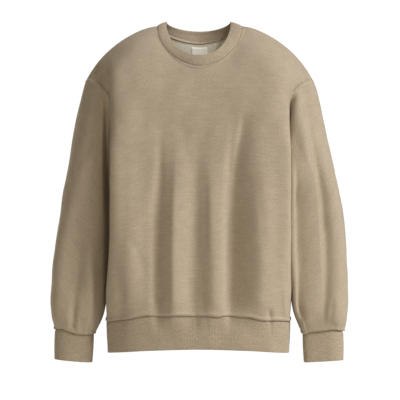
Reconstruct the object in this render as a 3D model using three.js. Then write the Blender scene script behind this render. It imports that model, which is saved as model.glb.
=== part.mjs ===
// A crewneck sweatshirt in cotton fleece, hollow and filled out as if worn, with both arms hanging.
// Millimetres, +Z up. The front faces -Y and the wearer's left is at +X.
// The origin lies between the shoulders, level with the seams at the sides of the neck.
import * as THREE from 'three';

// Cloth walls
const fleece = 1.8;
const doubledRib = 2.8;
const labelTape = 1.0;
const seamGap = 0.4; // between the edges of neighbouring pieces
const foldRounding = 0.7; // how far the folded edge of a rib band is rounded off on each face

// Neckline, where the body is sewn to the neckband, and the band's free edge
const neckHalfWidth = 92;
const neckDrop = { front: 92, back: 31 };
const neckDepth = { front: 76, back: 62 };
const neckRoundness = { front: 1.8, back: 1.6 }; // exponent of the superellipse seen from the front
const collarHalfWidth = 71;
const collarPeak = 9.7; // the free edge's height above the shoulder
const collarDrop = { front: 77.2, back: 15.2 };
const collarDepth = { front: 69, back: 54 };
const collarSetBack = 3;

// Shoulders and armholes
const shoulderTip = { x: 244, z: -116 };
const armpit = { x: 168, z: -330 };
const armholeDepth = { front: 59, back: 56 };

// Hem seam, and the edge of the hem band
const hemSeamZ = -632;
const hemSeamRise = { front: 18, back: 2 }; // how much higher the seam is at the middle than at the side
const hemBandHeight = 70;
const hemNarrowing = 0.98; // the band's free edge against its seam
const hemSway = -2.5; // how far the hem hangs to the wearer's left
const hemFoldHold = 0.35; // how much of a fold's height is left at the hem seam

// Cuffs
const cuffLength = 63;
const cuffNarrowing = 0.97;
const ringSquareness = 2.4; // of the sleeves' sections below the armpit: 2 is an ellipse, and more is flatter
const cuffLean = { left: 0, right: 0.08, forward: 0.07 }; // outwards and forwards, for each millimetre down

// How many quads each piece is divided into
const columnsPerSpan = [7, 4, 2, 2, 2]; // from the middle out: to neck, shoulder, corner, behind, edge
const rowsBelowArmpit = 9;
const rowsAboveArmpit = 12;
const upperSleeveRings = 7;
const relaxPasses = 8;
const bandRows = 2;
const collarRows = 3;

// Sections of the front and the back. "up" runs from the hem seam (0) to the neck and shoulder seams (1).
// The other columns are places of the cloth's outer face: across in X, and out from the middle plane in Y.
const sections = {
  front: [
    { up: 0, centre: 110, neck: 108, shoulder: 98, cornerX: 181, corner: 72, behindX: 194, behind: 32 },
    { up: 0.1, centre: 115, neck: 113, shoulder: 108, cornerX: 187, corner: 88, behindX: 196, behind: 42 },
    { up: 0.25, centre: 117, neck: 116, shoulder: 113, cornerX: 190, corner: 98, behindX: 190, behind: 46 },
    { up: 0.42, centre: 117, neck: 117, shoulder: 115, cornerX: 190, corner: 103, behindX: 183, behind: 50 },
    { up: 0.5, centre: 116, neck: 116, shoulder: 114, cornerX: 190, corner: 103, behindX: 180, behind: 51 },
    { up: 0.585, centre: 115, neck: 115, shoulder: 113, cornerX: 190, corner: 103, behindX: 179, behind: 56 },
    { up: 0.72, centre: 110, neck: 108, shoulder: 109, cornerX: 190, corner: 99, behindX: 189, behind: 73 },
    { up: 0.83, centre: 103, neck: 93, shoulder: 97, cornerX: 190, corner: 91, behindX: 191, behind: 71 },
    { up: 0.91, centre: 94, neck: 68, shoulder: 79, cornerX: 190, corner: 77, behindX: 194, behind: 65 },
    { up: 0.96, centre: 85, neck: 41, shoulder: 58, cornerX: 192, corner: 58, behindX: 201, behind: 54 },
    { up: 0.985, centre: 80, neck: 23, shoulder: 37, cornerX: 195, corner: 37, behindX: 211, behind: 36 },
    { up: 1, centre: 76, neck: 0, shoulder: 0, cornerX: 196, corner: 0, behindX: 222, behind: 0 },
  ],
  back: [
    { up: 0, centre: 114, neck: 101, shoulder: 74, cornerX: 181, corner: 45, behindX: 194, behind: 21 },
    { up: 0.1, centre: 120, neck: 108, shoulder: 85, cornerX: 187, corner: 60, behindX: 196, behind: 31 },
    { up: 0.25, centre: 118, neck: 108, shoulder: 90, cornerX: 189, corner: 67, behindX: 190, behind: 35 },
    { up: 0.42, centre: 114, neck: 107, shoulder: 93, cornerX: 188, corner: 71, behindX: 183, behind: 39 },
    { up: 0.5, centre: 114, neck: 107, shoulder: 94, cornerX: 188, corner: 73, behindX: 179, behind: 40 },
    { up: 0.585, centre: 115, neck: 108, shoulder: 95, cornerX: 188, corner: 76, behindX: 178, behind: 45 },
    { up: 0.72, centre: 117, neck: 106, shoulder: 97, cornerX: 189, corner: 78, behindX: 188, behind: 66 },
    { up: 0.83, centre: 112, neck: 92, shoulder: 88, cornerX: 190, corner: 75, behindX: 191, behind: 66 },
    { up: 0.91, centre: 93, neck: 66, shoulder: 72, cornerX: 190, corner: 69, behindX: 194, behind: 62 },
    { up: 0.96, centre: 78, neck: 40, shoulder: 53, cornerX: 192, corner: 53, behindX: 201, behind: 51 },
    { up: 0.985, centre: 68, neck: 23, shoulder: 35, cornerX: 195, corner: 35, behindX: 211, behind: 35 },
    { up: 1, centre: 62, neck: 0, shoulder: 0, cornerX: 196, corner: 0, behindX: 222, behind: 0 },
  ],
};

// The side seam, pressed in beside the arm
const sideSeam = [
  { up: 0, x: 197 },
  { up: 0.1, x: 193 },
  { up: 0.25, x: 186 },
  { up: 0.42, x: 177 },
  { up: 0.5, x: 172 },
  { up: 0.585, x: armpit.x },
];

// The shoulder seam, by the same turns as the rows of both panels
const shoulderSeam = [
  { turn: 1, x: neckHalfWidth },
  { turn: 2, x: 150 },
  { turn: 3, x: 196 },
  { turn: 4, x: 222 },
  { turn: 5, x: shoulderTip.x },
];

// Hanging folds of the body: a ridge has a positive height and a trough a negative one.
// Each leans from topX to bottomX and grows from startZ down to fullZ.
const bodyFolds = {
  front: [
    { topX: -138, bottomX: -142, halfWidth: 20, height: 5, startZ: -180, fullZ: -420 },
    { topX: -80, bottomX: -90, halfWidth: 14, height: -8, startZ: -170, fullZ: -430 },
    { topX: -48, bottomX: -54, halfWidth: 20, height: 10, startZ: -190, fullZ: -440 },
    { topX: -10, bottomX: -12, halfWidth: 14, height: -4, startZ: -190, fullZ: -450 },
    { topX: 22, bottomX: 22, halfWidth: 19, height: 8, startZ: -190, fullZ: -480 },
    { topX: 74, bottomX: 74, halfWidth: 21, height: -15, startZ: -165, fullZ: -420 },
    { topX: 118, bottomX: 130, halfWidth: 25, height: 8, startZ: -165, fullZ: -430 },
  ],
  back: [
    { topX: -120, bottomX: -134, halfWidth: 22, height: 7, startZ: -190, fullZ: -470 },
    { topX: -74, bottomX: -84, halfWidth: 20, height: -9, startZ: -170, fullZ: -450 },
    { topX: -28, bottomX: -34, halfWidth: 22, height: 8, startZ: -210, fullZ: -490 },
    { topX: 16, bottomX: 14, halfWidth: 18, height: -7, startZ: -180, fullZ: -460 },
    { topX: 58, bottomX: 64, halfWidth: 24, height: 9, startZ: -200, fullZ: -480 },
    { topX: 108, bottomX: 120, halfWidth: 20, height: -7, startZ: -190, fullZ: -440 },
  ],
};

// Rings of the sleeves below the armpit, from the armhole to the cuff seam: how far out from the middle of the body
// each lies on its inner and outer side, where its axis is in Y, and half its depth
const sleeveRings = [
  { z: -350, rightInner: 184.5, rightOuter: 290.5, leftInner: 191, leftOuter: 298, y: 0, deep: 73 },
  { z: -378, rightInner: 186, rightOuter: 294.5, leftInner: 190.5, leftOuter: 303.5, y: 0, deep: 70 },
  { z: -410, rightInner: 187.5, rightOuter: 299.5, leftInner: 190.5, leftOuter: 308.5, y: -1, deep: 67 },
  { z: -450, rightInner: 190, rightOuter: 305.5, leftInner: 191.5, leftOuter: 312.8, y: -3, deep: 63 },
  { z: -490, rightInner: 193, rightOuter: 311, leftInner: 193, leftOuter: 315.3, y: -6, deep: 60 },
  { z: -530, rightInner: 196.5, rightOuter: 315, leftInner: 195.5, leftOuter: 317.2, y: -9, deep: 58 },
  { z: -568, rightInner: 199.5, rightOuter: 317, leftInner: 198.5, leftOuter: 318.2, y: -13, deep: 56 },
  { z: -600, rightInner: 203.5, rightOuter: 318, leftInner: 202.5, leftOuter: 317.7, y: -16, deep: 55 },
  { z: -624, rightInner: 209, rightOuter: 317, leftInner: 206, leftOuter: 313.5, y: -18, deep: 52 },
  { z: -641, rightInner: 216, rightOuter: 314, leftInner: 211.5, leftOuter: 309, y: -20, deep: 46 },
  { z: -652, rightInner: 223.5, rightOuter: 309.5, leftInner: 217, leftOuter: 303, y: -21, deep: 37 },
  { z: -657, rightInner: 228, rightOuter: 306, leftInner: 220.5, leftOuter: 298.5, y: -21, deep: 30 },
];

// Folds along the sleeves. Angles go round from the body (0) over the front (90) to the outside (180).
// "from" and "to" are shares of the sleeve's length, and the fold fades over "fade" at both ends.
const sleeveFolds = {
  left: [
    { angleTop: 30, angleBottom: 34, halfWidth: 16, height: 3, from: 0.35, to: 0.95, fade: 0.2 },
    { angleTop: 56, angleBottom: 58, halfWidth: 15, height: -7, from: 0.3, to: 0.97, fade: 0.2 },
    { angleTop: 80, angleBottom: 84, halfWidth: 20, height: 5, from: 0.2, to: 0.95, fade: 0.25 },
    { angleTop: 136, angleBottom: 118, halfWidth: 22, height: -6, from: 0.12, to: 0.6, fade: 0.2 },
    { angleTop: 112, angleBottom: 108, halfWidth: 18, height: -5, from: 0.7, to: 0.99, fade: 0.16 },
    { angleTop: 250, angleBottom: 262, halfWidth: 24, height: -6, from: 0.3, to: 0.9, fade: 0.25 },
    { angleTop: 300, angleBottom: 296, halfWidth: 20, height: 4, from: 0.45, to: 0.95, fade: 0.2 },
  ],
  right: [
    { angleTop: 130, angleBottom: 138, halfWidth: 24, height: 5, from: 0.4, to: 0.97, fade: 0.22 },
    { angleTop: 92, angleBottom: 106, halfWidth: 18, height: -7, from: 0.48, to: 0.98, fade: 0.2 },
    { angleTop: 66, angleBottom: 72, halfWidth: 22, height: 5, from: 0.5, to: 0.97, fade: 0.2 },
    { angleTop: 128, angleBottom: 122, halfWidth: 20, height: -4, from: 0.12, to: 0.5, fade: 0.2 },
    { angleTop: 256, angleBottom: 268, halfWidth: 24, height: -6, from: 0.32, to: 0.92, fade: 0.25 },
    { angleTop: 220, angleBottom: 226, halfWidth: 20, height: 4, from: 0.45, to: 0.95, fade: 0.2 },
  ],
};

// The woven label inside the back neck
const label = { halfTurn: 0.154, bottomUp: 0.932, topUp: 0.994, lift: 0.4 };

// Helpers
const sides = { front: -1, back: 1 };
const guideCount = 5; // neck, shoulder, corner, behind and edge, counted out from the middle

function smooth(value, start, end) {
  return THREE.MathUtils.smoothstep((value - start) / (end - start), 0, 1);
}

// One column of a table at a place between its rows, by a monotone cubic
function read(table, place, key, at) {
  let row = 0;
  const rising = table[1][place] > table[0][place];
  while (row < table.length - 2 && (rising ? at > table[row + 1][place] : at < table[row + 1][place])) {
    row += 1;
  }
  const slope = (i) => (table[i + 1][key] - table[i][key]) / (table[i + 1][place] - table[i][place]);
  const tangent = (i) => {
    if (i === 0) return slope(0);
    if (i === table.length - 1) return slope(i - 1);
    const before = slope(i - 1);
    const after = slope(i);
    return before * after <= 0 ? 0 : (2 * before * after) / (before + after);
  };
  const width = table[row + 1][place] - table[row][place];
  const t = THREE.MathUtils.clamp((at - table[row][place]) / width, 0, 1);
  const start = table[row][key];
  const end = table[row + 1][key];
  const startTangent = tangent(row) * width;
  const endTangent = tangent(row + 1) * width;
  return start + t * (startTangent + t * (3 * (end - start) - 2 * startTangent - endTangent
    + t * (2 * (start - end) + startTangent + endTangent)));
}

// Height of the shoulder seam above a place across
function shoulderLine(x) {
  const share = THREE.MathUtils.clamp((x - neckHalfWidth) / (shoulderTip.x - neckHalfWidth), 0, 1);
  return shoulderTip.z * (0.8 * share ** 1.6 + 0.2 * share ** 6);
}

// The neck seam: "turn" goes from the middle (0) to the side of the neck (1)
function neckSeam(side, turn) {
  const angle = (turn * Math.PI) / 2;
  const power = 2 / neckRoundness[side];
  return new THREE.Vector3(
    neckHalfWidth * Math.sin(angle) ** power,
    sides[side] * neckDepth[side] * Math.cos(angle),
    -neckDrop[side] * Math.cos(angle) ** power,
  );
}

// The free edge of the neckband, by the same turn
function collarEdge(side, turn) {
  const angle = (turn * Math.PI) / 2;
  const lean = side === 'front' ? 1.3 : 1;
  const power = side === 'front' ? 1 : 2 / neckRoundness.back;
  return new THREE.Vector3(
    collarHalfWidth * Math.sin(angle),
    collarSetBack + sides[side] * collarDepth[side] * Math.cos(angle) ** lean,
    collarPeak - collarDrop[side] * Math.cos(angle) ** power,
  );
}

// The armhole seam: "climb" goes from the armpit (0) to the shoulder tip (1)
function armholeSeam(side, climb) {
  const rise = Math.min(climb / 0.56, 1);
  const out = armholeDepth[side] * Math.sqrt(1 - (1 - rise) ** 2) * (1 - climb ** 14) ** 0.6;
  return new THREE.Vector3(
    armpit.x + 24 * (1 - (1 - climb) ** 2) + 52 * climb ** 12,
    sides[side] * out,
    THREE.MathUtils.lerp(armpit.z, shoulderTip.z, climb),
  );
}

const armpitUp = (armpit.z - hemSeamZ) / (shoulderTip.z - hemSeamZ);

// The outer edge of a body panel: the side seam, then the armhole seam
function panelEdge(side, up) {
  if (up > armpitUp) return armholeSeam(side, (up - armpitUp) / (1 - armpitUp));
  return new THREE.Vector3(read(sideSeam, 'up', 'x', up), 0, THREE.MathUtils.lerp(hemSeamZ, shoulderTip.z, up));
}

// Height of the hem seam at a place across
function hemSeam(side, x) {
  return hemSeamZ + hemSeamRise[side] * Math.max(0, 1 - (x / sideSeam[0].x) ** 2);
}

// The points that a half row passes through, from the middle to the edge.
// Rows are level up to the armpits, then rise towards the neck to meet the slope of the shoulder.
function guidePoints(side, up) {
  const table = sections[side];
  const get = (key) => read(table, 'up', key, up);
  const level = THREE.MathUtils.lerp(hemSeamZ, shoulderTip.z, up);
  const tilt = Math.max(0, (up - 0.4) / 0.6) ** 1.6;
  const place = (bottomX, topX, x, out, topZ) => new THREE.Vector3(
    x,
    sides[side] * out,
    level + (hemSeam(side, bottomX) - hemSeamZ) * (1 - up) + ((topZ ?? shoulderLine(topX)) - shoulderTip.z) * tilt,
  );
  const first = table[0];
  const last = table.at(-1);
  return [
    place(0, 0, 0, get('centre'), -neckDrop[side]),
    place(105, neckHalfWidth, THREE.MathUtils.lerp(105, neckHalfWidth, up), get('neck')),
    place(160, 150, THREE.MathUtils.lerp(160, 150, up), get('shoulder')),
    place(first.cornerX, last.cornerX, get('cornerX'), get('corner')),
    place(first.behindX, last.behindX, get('behindX'), get('behind')),
    panelEdge(side, up),
  ];
}

// A smooth half row through the guides, mirrored about the middle so that it crosses it level
function rowPoint(side, turn, up) {
  const half = guidePoints(side, up);
  const mirrored = half.slice(1).reverse().map((p) => new THREE.Vector3(-p.x, p.y, p.z));
  const curve = new THREE.CatmullRomCurve3([...mirrored, ...half], false, 'centripetal');
  return curve.getPoint((guideCount + turn) / (2 * guideCount));
}

// Where the row at the top has to end: on the neck seam, or on the shoulder seam
function topSeam(side, turn) {
  if (turn <= 1) return neckSeam(side, turn);
  const x = read(shoulderSeam, 'turn', 'x', turn);
  return new THREE.Vector3(x, 0, shoulderLine(x));
}

// How far the hanging folds move the cloth out at a place. They fade out round the corner of the body.
function foldHeight(side, turn, x, z) {
  let sum = 0;
  for (const fold of bodyFolds[side]) {
    const centre = THREE.MathUtils.lerp(fold.topX, fold.bottomX, smooth(z, shoulderTip.z, hemSeamZ));
    sum += fold.height * smooth(z, fold.startZ, fold.fullZ) * Math.exp(-(((x - centre) / fold.halfWidth) ** 2));
  }
  const face = 1 - smooth(turn, 2.2, 3.2);
  const hem = THREE.MathUtils.lerp(hemFoldHold, 1, smooth(z, hemSeamZ, hemSeamZ + 60));
  return sum * face * hem;
}

// The outer face of a body panel. "across" is signed: 0 in the middle and 5 at the wearer's left edge.
function bodyPoint(side, across, up) {
  const turn = Math.abs(across);
  const point = rowPoint(side, turn, up);
  const nearTop = smooth(up, 0.72, 1);
  if (nearTop > 0) {
    const miss = topSeam(side, turn).sub(rowPoint(side, turn, 1));
    point.addScaledVector(miss, nearTop);
  }
  if (across < 0) point.x = -point.x;
  point.x += hemSway * smooth(up, armpitUp, 0);
  point.y += sides[side] * foldHeight(side, turn, point.x, point.z);
  return point;
}

// Grids of points, one for each piece's outer face
function columnPlaces() {
  const half = [0];
  columnsPerSpan.forEach((count, span) => {
    for (let i = 1; i <= count; i += 1) half.push(span + i / count);
  });
  return [...half.slice(1).reverse().map((turn) => -turn), ...half];
}

// Rows lie closer together at the armpit and at the shoulder tip, where the armhole bends most
const climbs = Array.from({ length: rowsAboveArmpit + 1 }, (_, k) => {
  const share = k / rowsAboveArmpit;
  return THREE.MathUtils.lerp(share, 0.5 - 0.5 * Math.cos(Math.PI * share), 0.6);
});
const rowPlaces = [
  ...Array.from({ length: rowsBelowArmpit }, (_, j) => (armpitUp * j) / rowsBelowArmpit),
  ...climbs.map((climb) => armpitUp + (1 - armpitUp) * climb),
];
const columns = columnPlaces();

// Evens out the cloth between the seams of the yoke, where the neckline turns into the shoulder
function relax(grid) {
  for (let pass = 0; pass < relaxPasses; pass += 1) {
    const before = grid.map((row) => row.map((p) => p.clone()));
    for (let j = 1; j < grid.length - 1; j += 1) {
      const share = smooth(rowPlaces[j], 0.66, 0.8);
      for (let i = 1; i < columns.length - 1; i += 1) {
        const mean = ringCentre([before[j - 1][i], before[j + 1][i], before[j][i - 1], before[j][i + 1]]);
        grid[j][i].lerp(mean, 0.5 * share);
      }
    }
  }
  return grid;
}

function bodyGrid(side) {
  return relax(rowPlaces.map((up) => columns.map((across) => bodyPoint(side, across, up))));
}

// A ring from the front's points, left to right, and the back's points, right to left
function joinRing(front, back) {
  return [...front, ...back.slice(1, -1).reverse()];
}

function ringCentre(ring) {
  return ring.reduce((sum, p) => sum.add(p), new THREE.Vector3()).divideScalar(ring.length);
}

// Takes a circle's share across or forward to that of a rounder-cornered square
function squarer(share) {
  return Math.sign(share) * Math.abs(share) ** (2 / ringSquareness);
}

// A ring of the sleeve's tube, drawn on the wearer's left for both sleeves
function tubeRing(wearerSide, z, count) {
  const get = (key, at) => read(sleeveRings, 'z', key, at);
  const middle = (at) => new THREE.Vector3(
    (get(`${wearerSide}Inner`, at) + get(`${wearerSide}Outer`, at)) / 2,
    get('y', at),
    at,
  );
  const across = (get(`${wearerSide}Outer`, z) - get(`${wearerSide}Inner`, z)) / 2;
  const axis = middle(z - 4).sub(middle(z + 4)).normalize();
  const inward = new THREE.Vector3(axis.z, 0, -axis.x).normalize();
  const forward = new THREE.Vector3().crossVectors(inward, axis).normalize();
  return Array.from({ length: count }, (_, m) => {
    const angle = (2 * Math.PI * m) / count;
    return middle(z)
      .addScaledVector(inward, across * squarer(Math.cos(angle)))
      .addScaledVector(forward, get('deep', z) * squarer(Math.sin(angle)));
  });
}

function sleeveFoldHeight(folds, angle, share) {
  return folds.reduce((sum, fold) => {
    const along = THREE.MathUtils.clamp((share - fold.from) / (fold.to - fold.from), 0, 1);
    const centre = THREE.MathUtils.lerp(fold.angleTop, fold.angleBottom, along);
    const fade = smooth(share, fold.from, fold.from + fold.fade) * (1 - smooth(share, fold.to - fold.fade, fold.to));
    return sum + fold.height * fade * Math.exp(-(((angle - centre) / fold.halfWidth) ** 2));
  }, 0);
}

// The sleeve: curves from the armhole to the first ring, then the tube down to the cuff seam
function sleeveGrid(wearerSide) {
  const armhole = joinRing(climbs.map((c) => armholeSeam('front', c)), climbs.map((c) => armholeSeam('back', c)));
  const count = armhole.length;
  const first = tubeRing(wearerSide, sleeveRings[0].z, count);
  const below = tubeRing(wearerSide, sleeveRings[0].z - 8, count);
  const bulge = 9; // how full the sleeve's head is
  const underarm = 20; // how far the cloth runs out level from the armpit before it turns down
  const grid = [];
  for (let k = 0; k < upperSleeveRings; k += 1) {
    grid.push(armhole.map((start, m) => {
      const end = first[m];
      const reach = start.distanceTo(end);
      const leave = end.clone().sub(start).multiplyScalar(0.34);
      const out = end.clone().sub(ringCentre(first)).setZ(0).normalize();
      leave.addScaledVector(out, bulge * (0.5 + 0.5 * out.x) * Math.min(1, reach / 80));
      leave.x += underarm * Math.max(0, -out.x) ** 2;
      const arrive = end.clone().sub(below[m]).normalize().multiplyScalar(0.34 * reach);
      const curve = new THREE.CubicBezierCurve3(start, start.clone().add(leave), end.clone().add(arrive), end);
      return curve.getPoint(k / upperSleeveRings);
    }));
  }
  for (const ring of sleeveRings) grid.push(tubeRing(wearerSide, ring.z, count));
  const foldTop = shoulderTip.z;
  const foldBottom = sleeveRings.at(-1).z;
  grid.forEach((ring, k) => {
    if (k === 0) return;
    const centre = ringCentre(ring);
    ring.forEach((p, m) => {
      const share = (p.z - foldTop) / (foldBottom - foldTop);
      const away = p.clone().sub(centre).normalize();
      p.addScaledVector(away, sleeveFoldHeight(sleeveFolds[wearerSide], (360 * m) / count, share));
    });
  });
  if (wearerSide === 'right') grid.flat().forEach((p) => p.setX(-p.x));
  return grid;
}

// The cuff hangs from the sleeve's last ring and narrows evenly to its free edge
function cuffGrid(wearerSide, sleeve) {
  const seam = sleeve.at(-1);
  const centre = ringCentre(seam);
  const outwards = Math.sign(centre.x) * cuffLean[wearerSide];
  const axis = new THREE.Vector3(outwards, -cuffLean.forward, -1).normalize();
  return Array.from({ length: bandRows + 1 }, (_, k) => seam.map((p) => {
    const share = k / bandRows;
    const scale = THREE.MathUtils.lerp(1, cuffNarrowing, share);
    return p.clone().sub(centre).multiplyScalar(scale).add(centre).addScaledVector(axis, cuffLength * share);
  }));
}

// The hem band's folds die out towards its free edge
function hemGrid() {
  const place = (side, grid, share) => columns.map((across, i) => {
    const p = grid[0][i];
    const scale = THREE.MathUtils.lerp(1, hemNarrowing, share);
    const fold = sides[side] * foldHeight(side, Math.abs(across), p.x, p.z) * share;
    return new THREE.Vector3(p.x * scale, (p.y - fold) * scale, p.z - hemBandHeight * share);
  });
  return Array.from({ length: bandRows + 1 }, (_, k) => {
    const share = 1 - k / bandRows;
    return joinRing(place('front', frontGrid, share), place('back', backGrid, share));
  });
}

function collarGrid() {
  const turns = columns.filter((across) => Math.abs(across) <= 1);
  const place = (edge, side) => turns.map((across) => {
    const p = edge(side, Math.abs(across));
    return across < 0 ? p.setX(-p.x) : p;
  });
  const seam = joinRing(place(neckSeam, 'front'), place(neckSeam, 'back'));
  const edge = joinRing(place(collarEdge, 'front'), place(collarEdge, 'back'));
  return Array.from({ length: collarRows + 1 }, (_, k) => (
    seam.map((p, m) => p.clone().lerp(edge[m], k / collarRows))
  ));
}

// A piece's outer face, with which way its faces point and which of its edges are seams
const frontGrid = bodyGrid('front');
const backGrid = bodyGrid('back');
const leftSleeveGrid = sleeveGrid('left');
const rightSleeveGrid = sleeveGrid('right');
const fleeceLook = { color: '#ab9981', roughness: 0.95, metalness: 0 };
const ribLook = { color: '#a3917a', roughness: 0.93, metalness: 0 };
const labelLook = { color: '#e9e4d6', roughness: 0.8, metalness: 0 };

const backPiece = { name: 'back', grid: backGrid, facing: -1, wall: fleece, look: fleeceLook };
const cuffs = { closed: true, wall: doubledRib, look: ribLook, folded: bandRows };
const pieces = [
  { name: 'front', grid: frontGrid, facing: 1, wall: fleece, look: fleeceLook },
  backPiece,
  { name: 'sleeve_left', grid: leftSleeveGrid, closed: true, facing: -1, wall: fleece, look: fleeceLook },
  { name: 'sleeve_right', grid: rightSleeveGrid, closed: true, facing: 1, wall: fleece, look: fleeceLook },
  { name: 'hem_band', grid: hemGrid(), closed: true, facing: 1, wall: doubledRib, look: ribLook, folded: 0 },
  { name: 'cuff_left', grid: cuffGrid('left', leftSleeveGrid), facing: -1, ...cuffs },
  { name: 'cuff_right', grid: cuffGrid('right', rightSleeveGrid), facing: 1, ...cuffs },
  { name: 'neckband', grid: collarGrid(), closed: true, facing: 1, wall: doubledRib, look: ribLook, folded: collarRows },
];

// Normals at the points of all outer faces. Where pieces meet, theirs are averaged so that both edges are cut alike.
const normalsAt = new Map();
const keyOf = (p) => [p.x, p.y, p.z].map((v) => Math.round(v * 50)).join(' ');

for (const { name, grid, closed, facing } of pieces) {
  const width = closed ? grid[0].length : grid[0].length - 1;
  for (let j = 0; j < grid.length - 1; j += 1) {
    for (let i = 0; i < width; i += 1) {
      const next = (i + 1) % grid[0].length;
      const corners = [grid[j][i], grid[j][next], grid[j + 1][next], grid[j + 1][i]];
      const diagonal = corners[2].clone().sub(corners[0]);
      const normal = diagonal.cross(corners[3].clone().sub(corners[1])).multiplyScalar(facing);
      for (const p of corners) {
        const here = normalsAt.get(keyOf(p)) ?? {};
        here[name] = (here[name] ?? new THREE.Vector3()).add(normal);
        normalsAt.set(keyOf(p), here);
      }
    }
  }
}

function sharedNormal(p) {
  const own = Object.values(normalsAt.get(keyOf(p)));
  return own.reduce((sum, normal) => sum.add(normal.clone().normalize()), new THREE.Vector3()).normalize();
}

// Moves a seam point back into its own piece by half the gap
function setBack(grid, closed, folded, j, i) {
  const p = grid[j][i];
  const move = new THREE.Vector3();
  const towards = (q) => move.addScaledVector(q.clone().sub(p).normalize(), seamGap / 2);
  if (j === 0 && folded !== 0) towards(grid[1][i]);
  if (j === grid.length - 1 && folded !== grid.length - 1) towards(grid[j - 1][i]);
  if (!closed && i === 0) towards(grid[j][1]);
  if (!closed && i === grid[0].length - 1) towards(grid[j][i - 1]);
  return p.clone().add(move);
}

// A closed solid between two grids of the same size. Faces are split along their shorter diagonal, and those along
// an edge from the higher of two neighbouring points, so that two pieces sewn together are split alike.
function closedShell(outer, inner, closed, facing) {
  const rows = outer.length;
  const width = outer[0].length;
  const points = [...outer.flat(), ...inner.flat()];
  const positions = points.flatMap((p) => [p.x, p.y, p.z]);
  const at = (layer, j, i) => layer * rows * width + j * width + (i % width);
  const triangles = [];
  const quad = (a, b, c, d) => triangles.push(...(facing > 0 ? [a, b, c, a, c, d] : [a, c, b, a, d, c]));
  const edge = (from, to) => {
    const [a, b, c, d] = [at(1, ...from), at(1, ...to), at(0, ...to), at(0, ...from)];
    if (points[d].z > points[c].z) quad(b, c, d, a);
    else quad(a, b, c, d);
  };
  const last = closed ? width : width - 1;
  for (let i = 0; i < last; i += 1) {
    for (let j = 0; j < rows - 1; j += 1) {
      const corners = [[j, i], [j, i + 1], [j + 1, i + 1], [j + 1, i]];
      const [a, b, c, d] = corners.map((corner) => points[at(0, ...corner)]);
      if (a.distanceTo(c) > b.distanceTo(d)) corners.push(corners.shift());
      quad(...corners.map((corner) => at(0, ...corner)));
      corners.push(corners.shift());
      quad(...corners.reverse().map((corner) => at(1, ...corner)));
    }
    edge([0, i], [0, i + 1]);
    edge([rows - 1, i + 1], [rows - 1, i]);
  }
  if (!closed) {
    for (let j = 0; j < rows - 1; j += 1) {
      edge([j + 1, 0], [j, 0]);
      edge([j, last], [j + 1, last]);
    }
  }
  const geometry = new THREE.BufferGeometry();
  geometry.setAttribute('position', new THREE.Float32BufferAttribute(positions, 3));
  geometry.setIndex(triangles);
  geometry.computeVertexNormals();
  return geometry;
}

// A piece's points moved in by a depth. A doubled rib is thinner where it is sewn, and rounded where it is folded.
function layer({ grid, closed = false, folded }, depth, rounding = 0) {
  const sewn = folded === 0 ? grid.length - 1 : 0;
  return grid.map((row, j) => row.map((p, i) => {
    const inset = j === folded ? depth + rounding : depth;
    const depthHere = folded !== undefined && j === sewn ? Math.min(inset, fleece) : inset;
    return setBack(grid, closed, folded, j, i).addScaledVector(sharedNormal(p), -depthHere);
  }));
}

function clothPiece(piece) {
  const outer = layer(piece, 0, foldRounding);
  const inner = layer(piece, piece.wall, -foldRounding);
  return closedShell(outer, inner, piece.closed, piece.facing);
}

// A point between the rows and columns of a body panel's grid
function between(grid, across, up) {
  const i = Math.min(columns.findLastIndex((place) => place <= across), columns.length - 2);
  const j = Math.min(rowPlaces.findLastIndex((place) => place <= up), rowPlaces.length - 2);
  const u = (across - columns[i]) / (columns[i + 1] - columns[i]);
  const v = (up - rowPlaces[j]) / (rowPlaces[j + 1] - rowPlaces[j]);
  const low = grid[j][i].clone().lerp(grid[j][i + 1], u);
  const high = grid[j + 1][i].clone().lerp(grid[j + 1][i + 1], u);
  return low.lerp(high, v);
}

// The label lies inside the back, on the back's own points
function labelGeometry() {
  const placesBetween = (places, start, end) => [start, ...places.filter((q) => q > start && q < end), end];
  const acrosses = placesBetween(columns, -label.halfTurn, label.halfTurn);
  const ups = placesBetween(rowPlaces, label.bottomUp, label.topUp);
  const face = (depth) => {
    const grid = layer(backPiece, depth);
    return ups.map((up) => acrosses.map((across) => between(grid, across, up)));
  };
  const inFront = fleece + label.lift;
  return closedShell(face(inFront + labelTape), face(inFront), false, 1);
}

const sweatshirt = new THREE.Group();
for (const piece of pieces) {
  const mesh = new THREE.Mesh(clothPiece(piece), new THREE.MeshStandardMaterial(piece.look));
  mesh.name = piece.name;
  sweatshirt.add(mesh);
}
const neckLabel = new THREE.Mesh(labelGeometry(), new THREE.MeshStandardMaterial(labelLook));
neckLabel.name = 'neck_label';
sweatshirt.add(neckLabel);

export default sweatshirt;
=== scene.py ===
# A crewneck sweatshirt in cotton fleece: hollow, filled out as if worn, with both arms hanging.
# Lengths are in millimetres until a mesh is made. The front faces -Y and the wearer's left is at +X.
import math

import bmesh
import bpy
import numpy as np
from mathutils import Matrix, Vector


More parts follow.
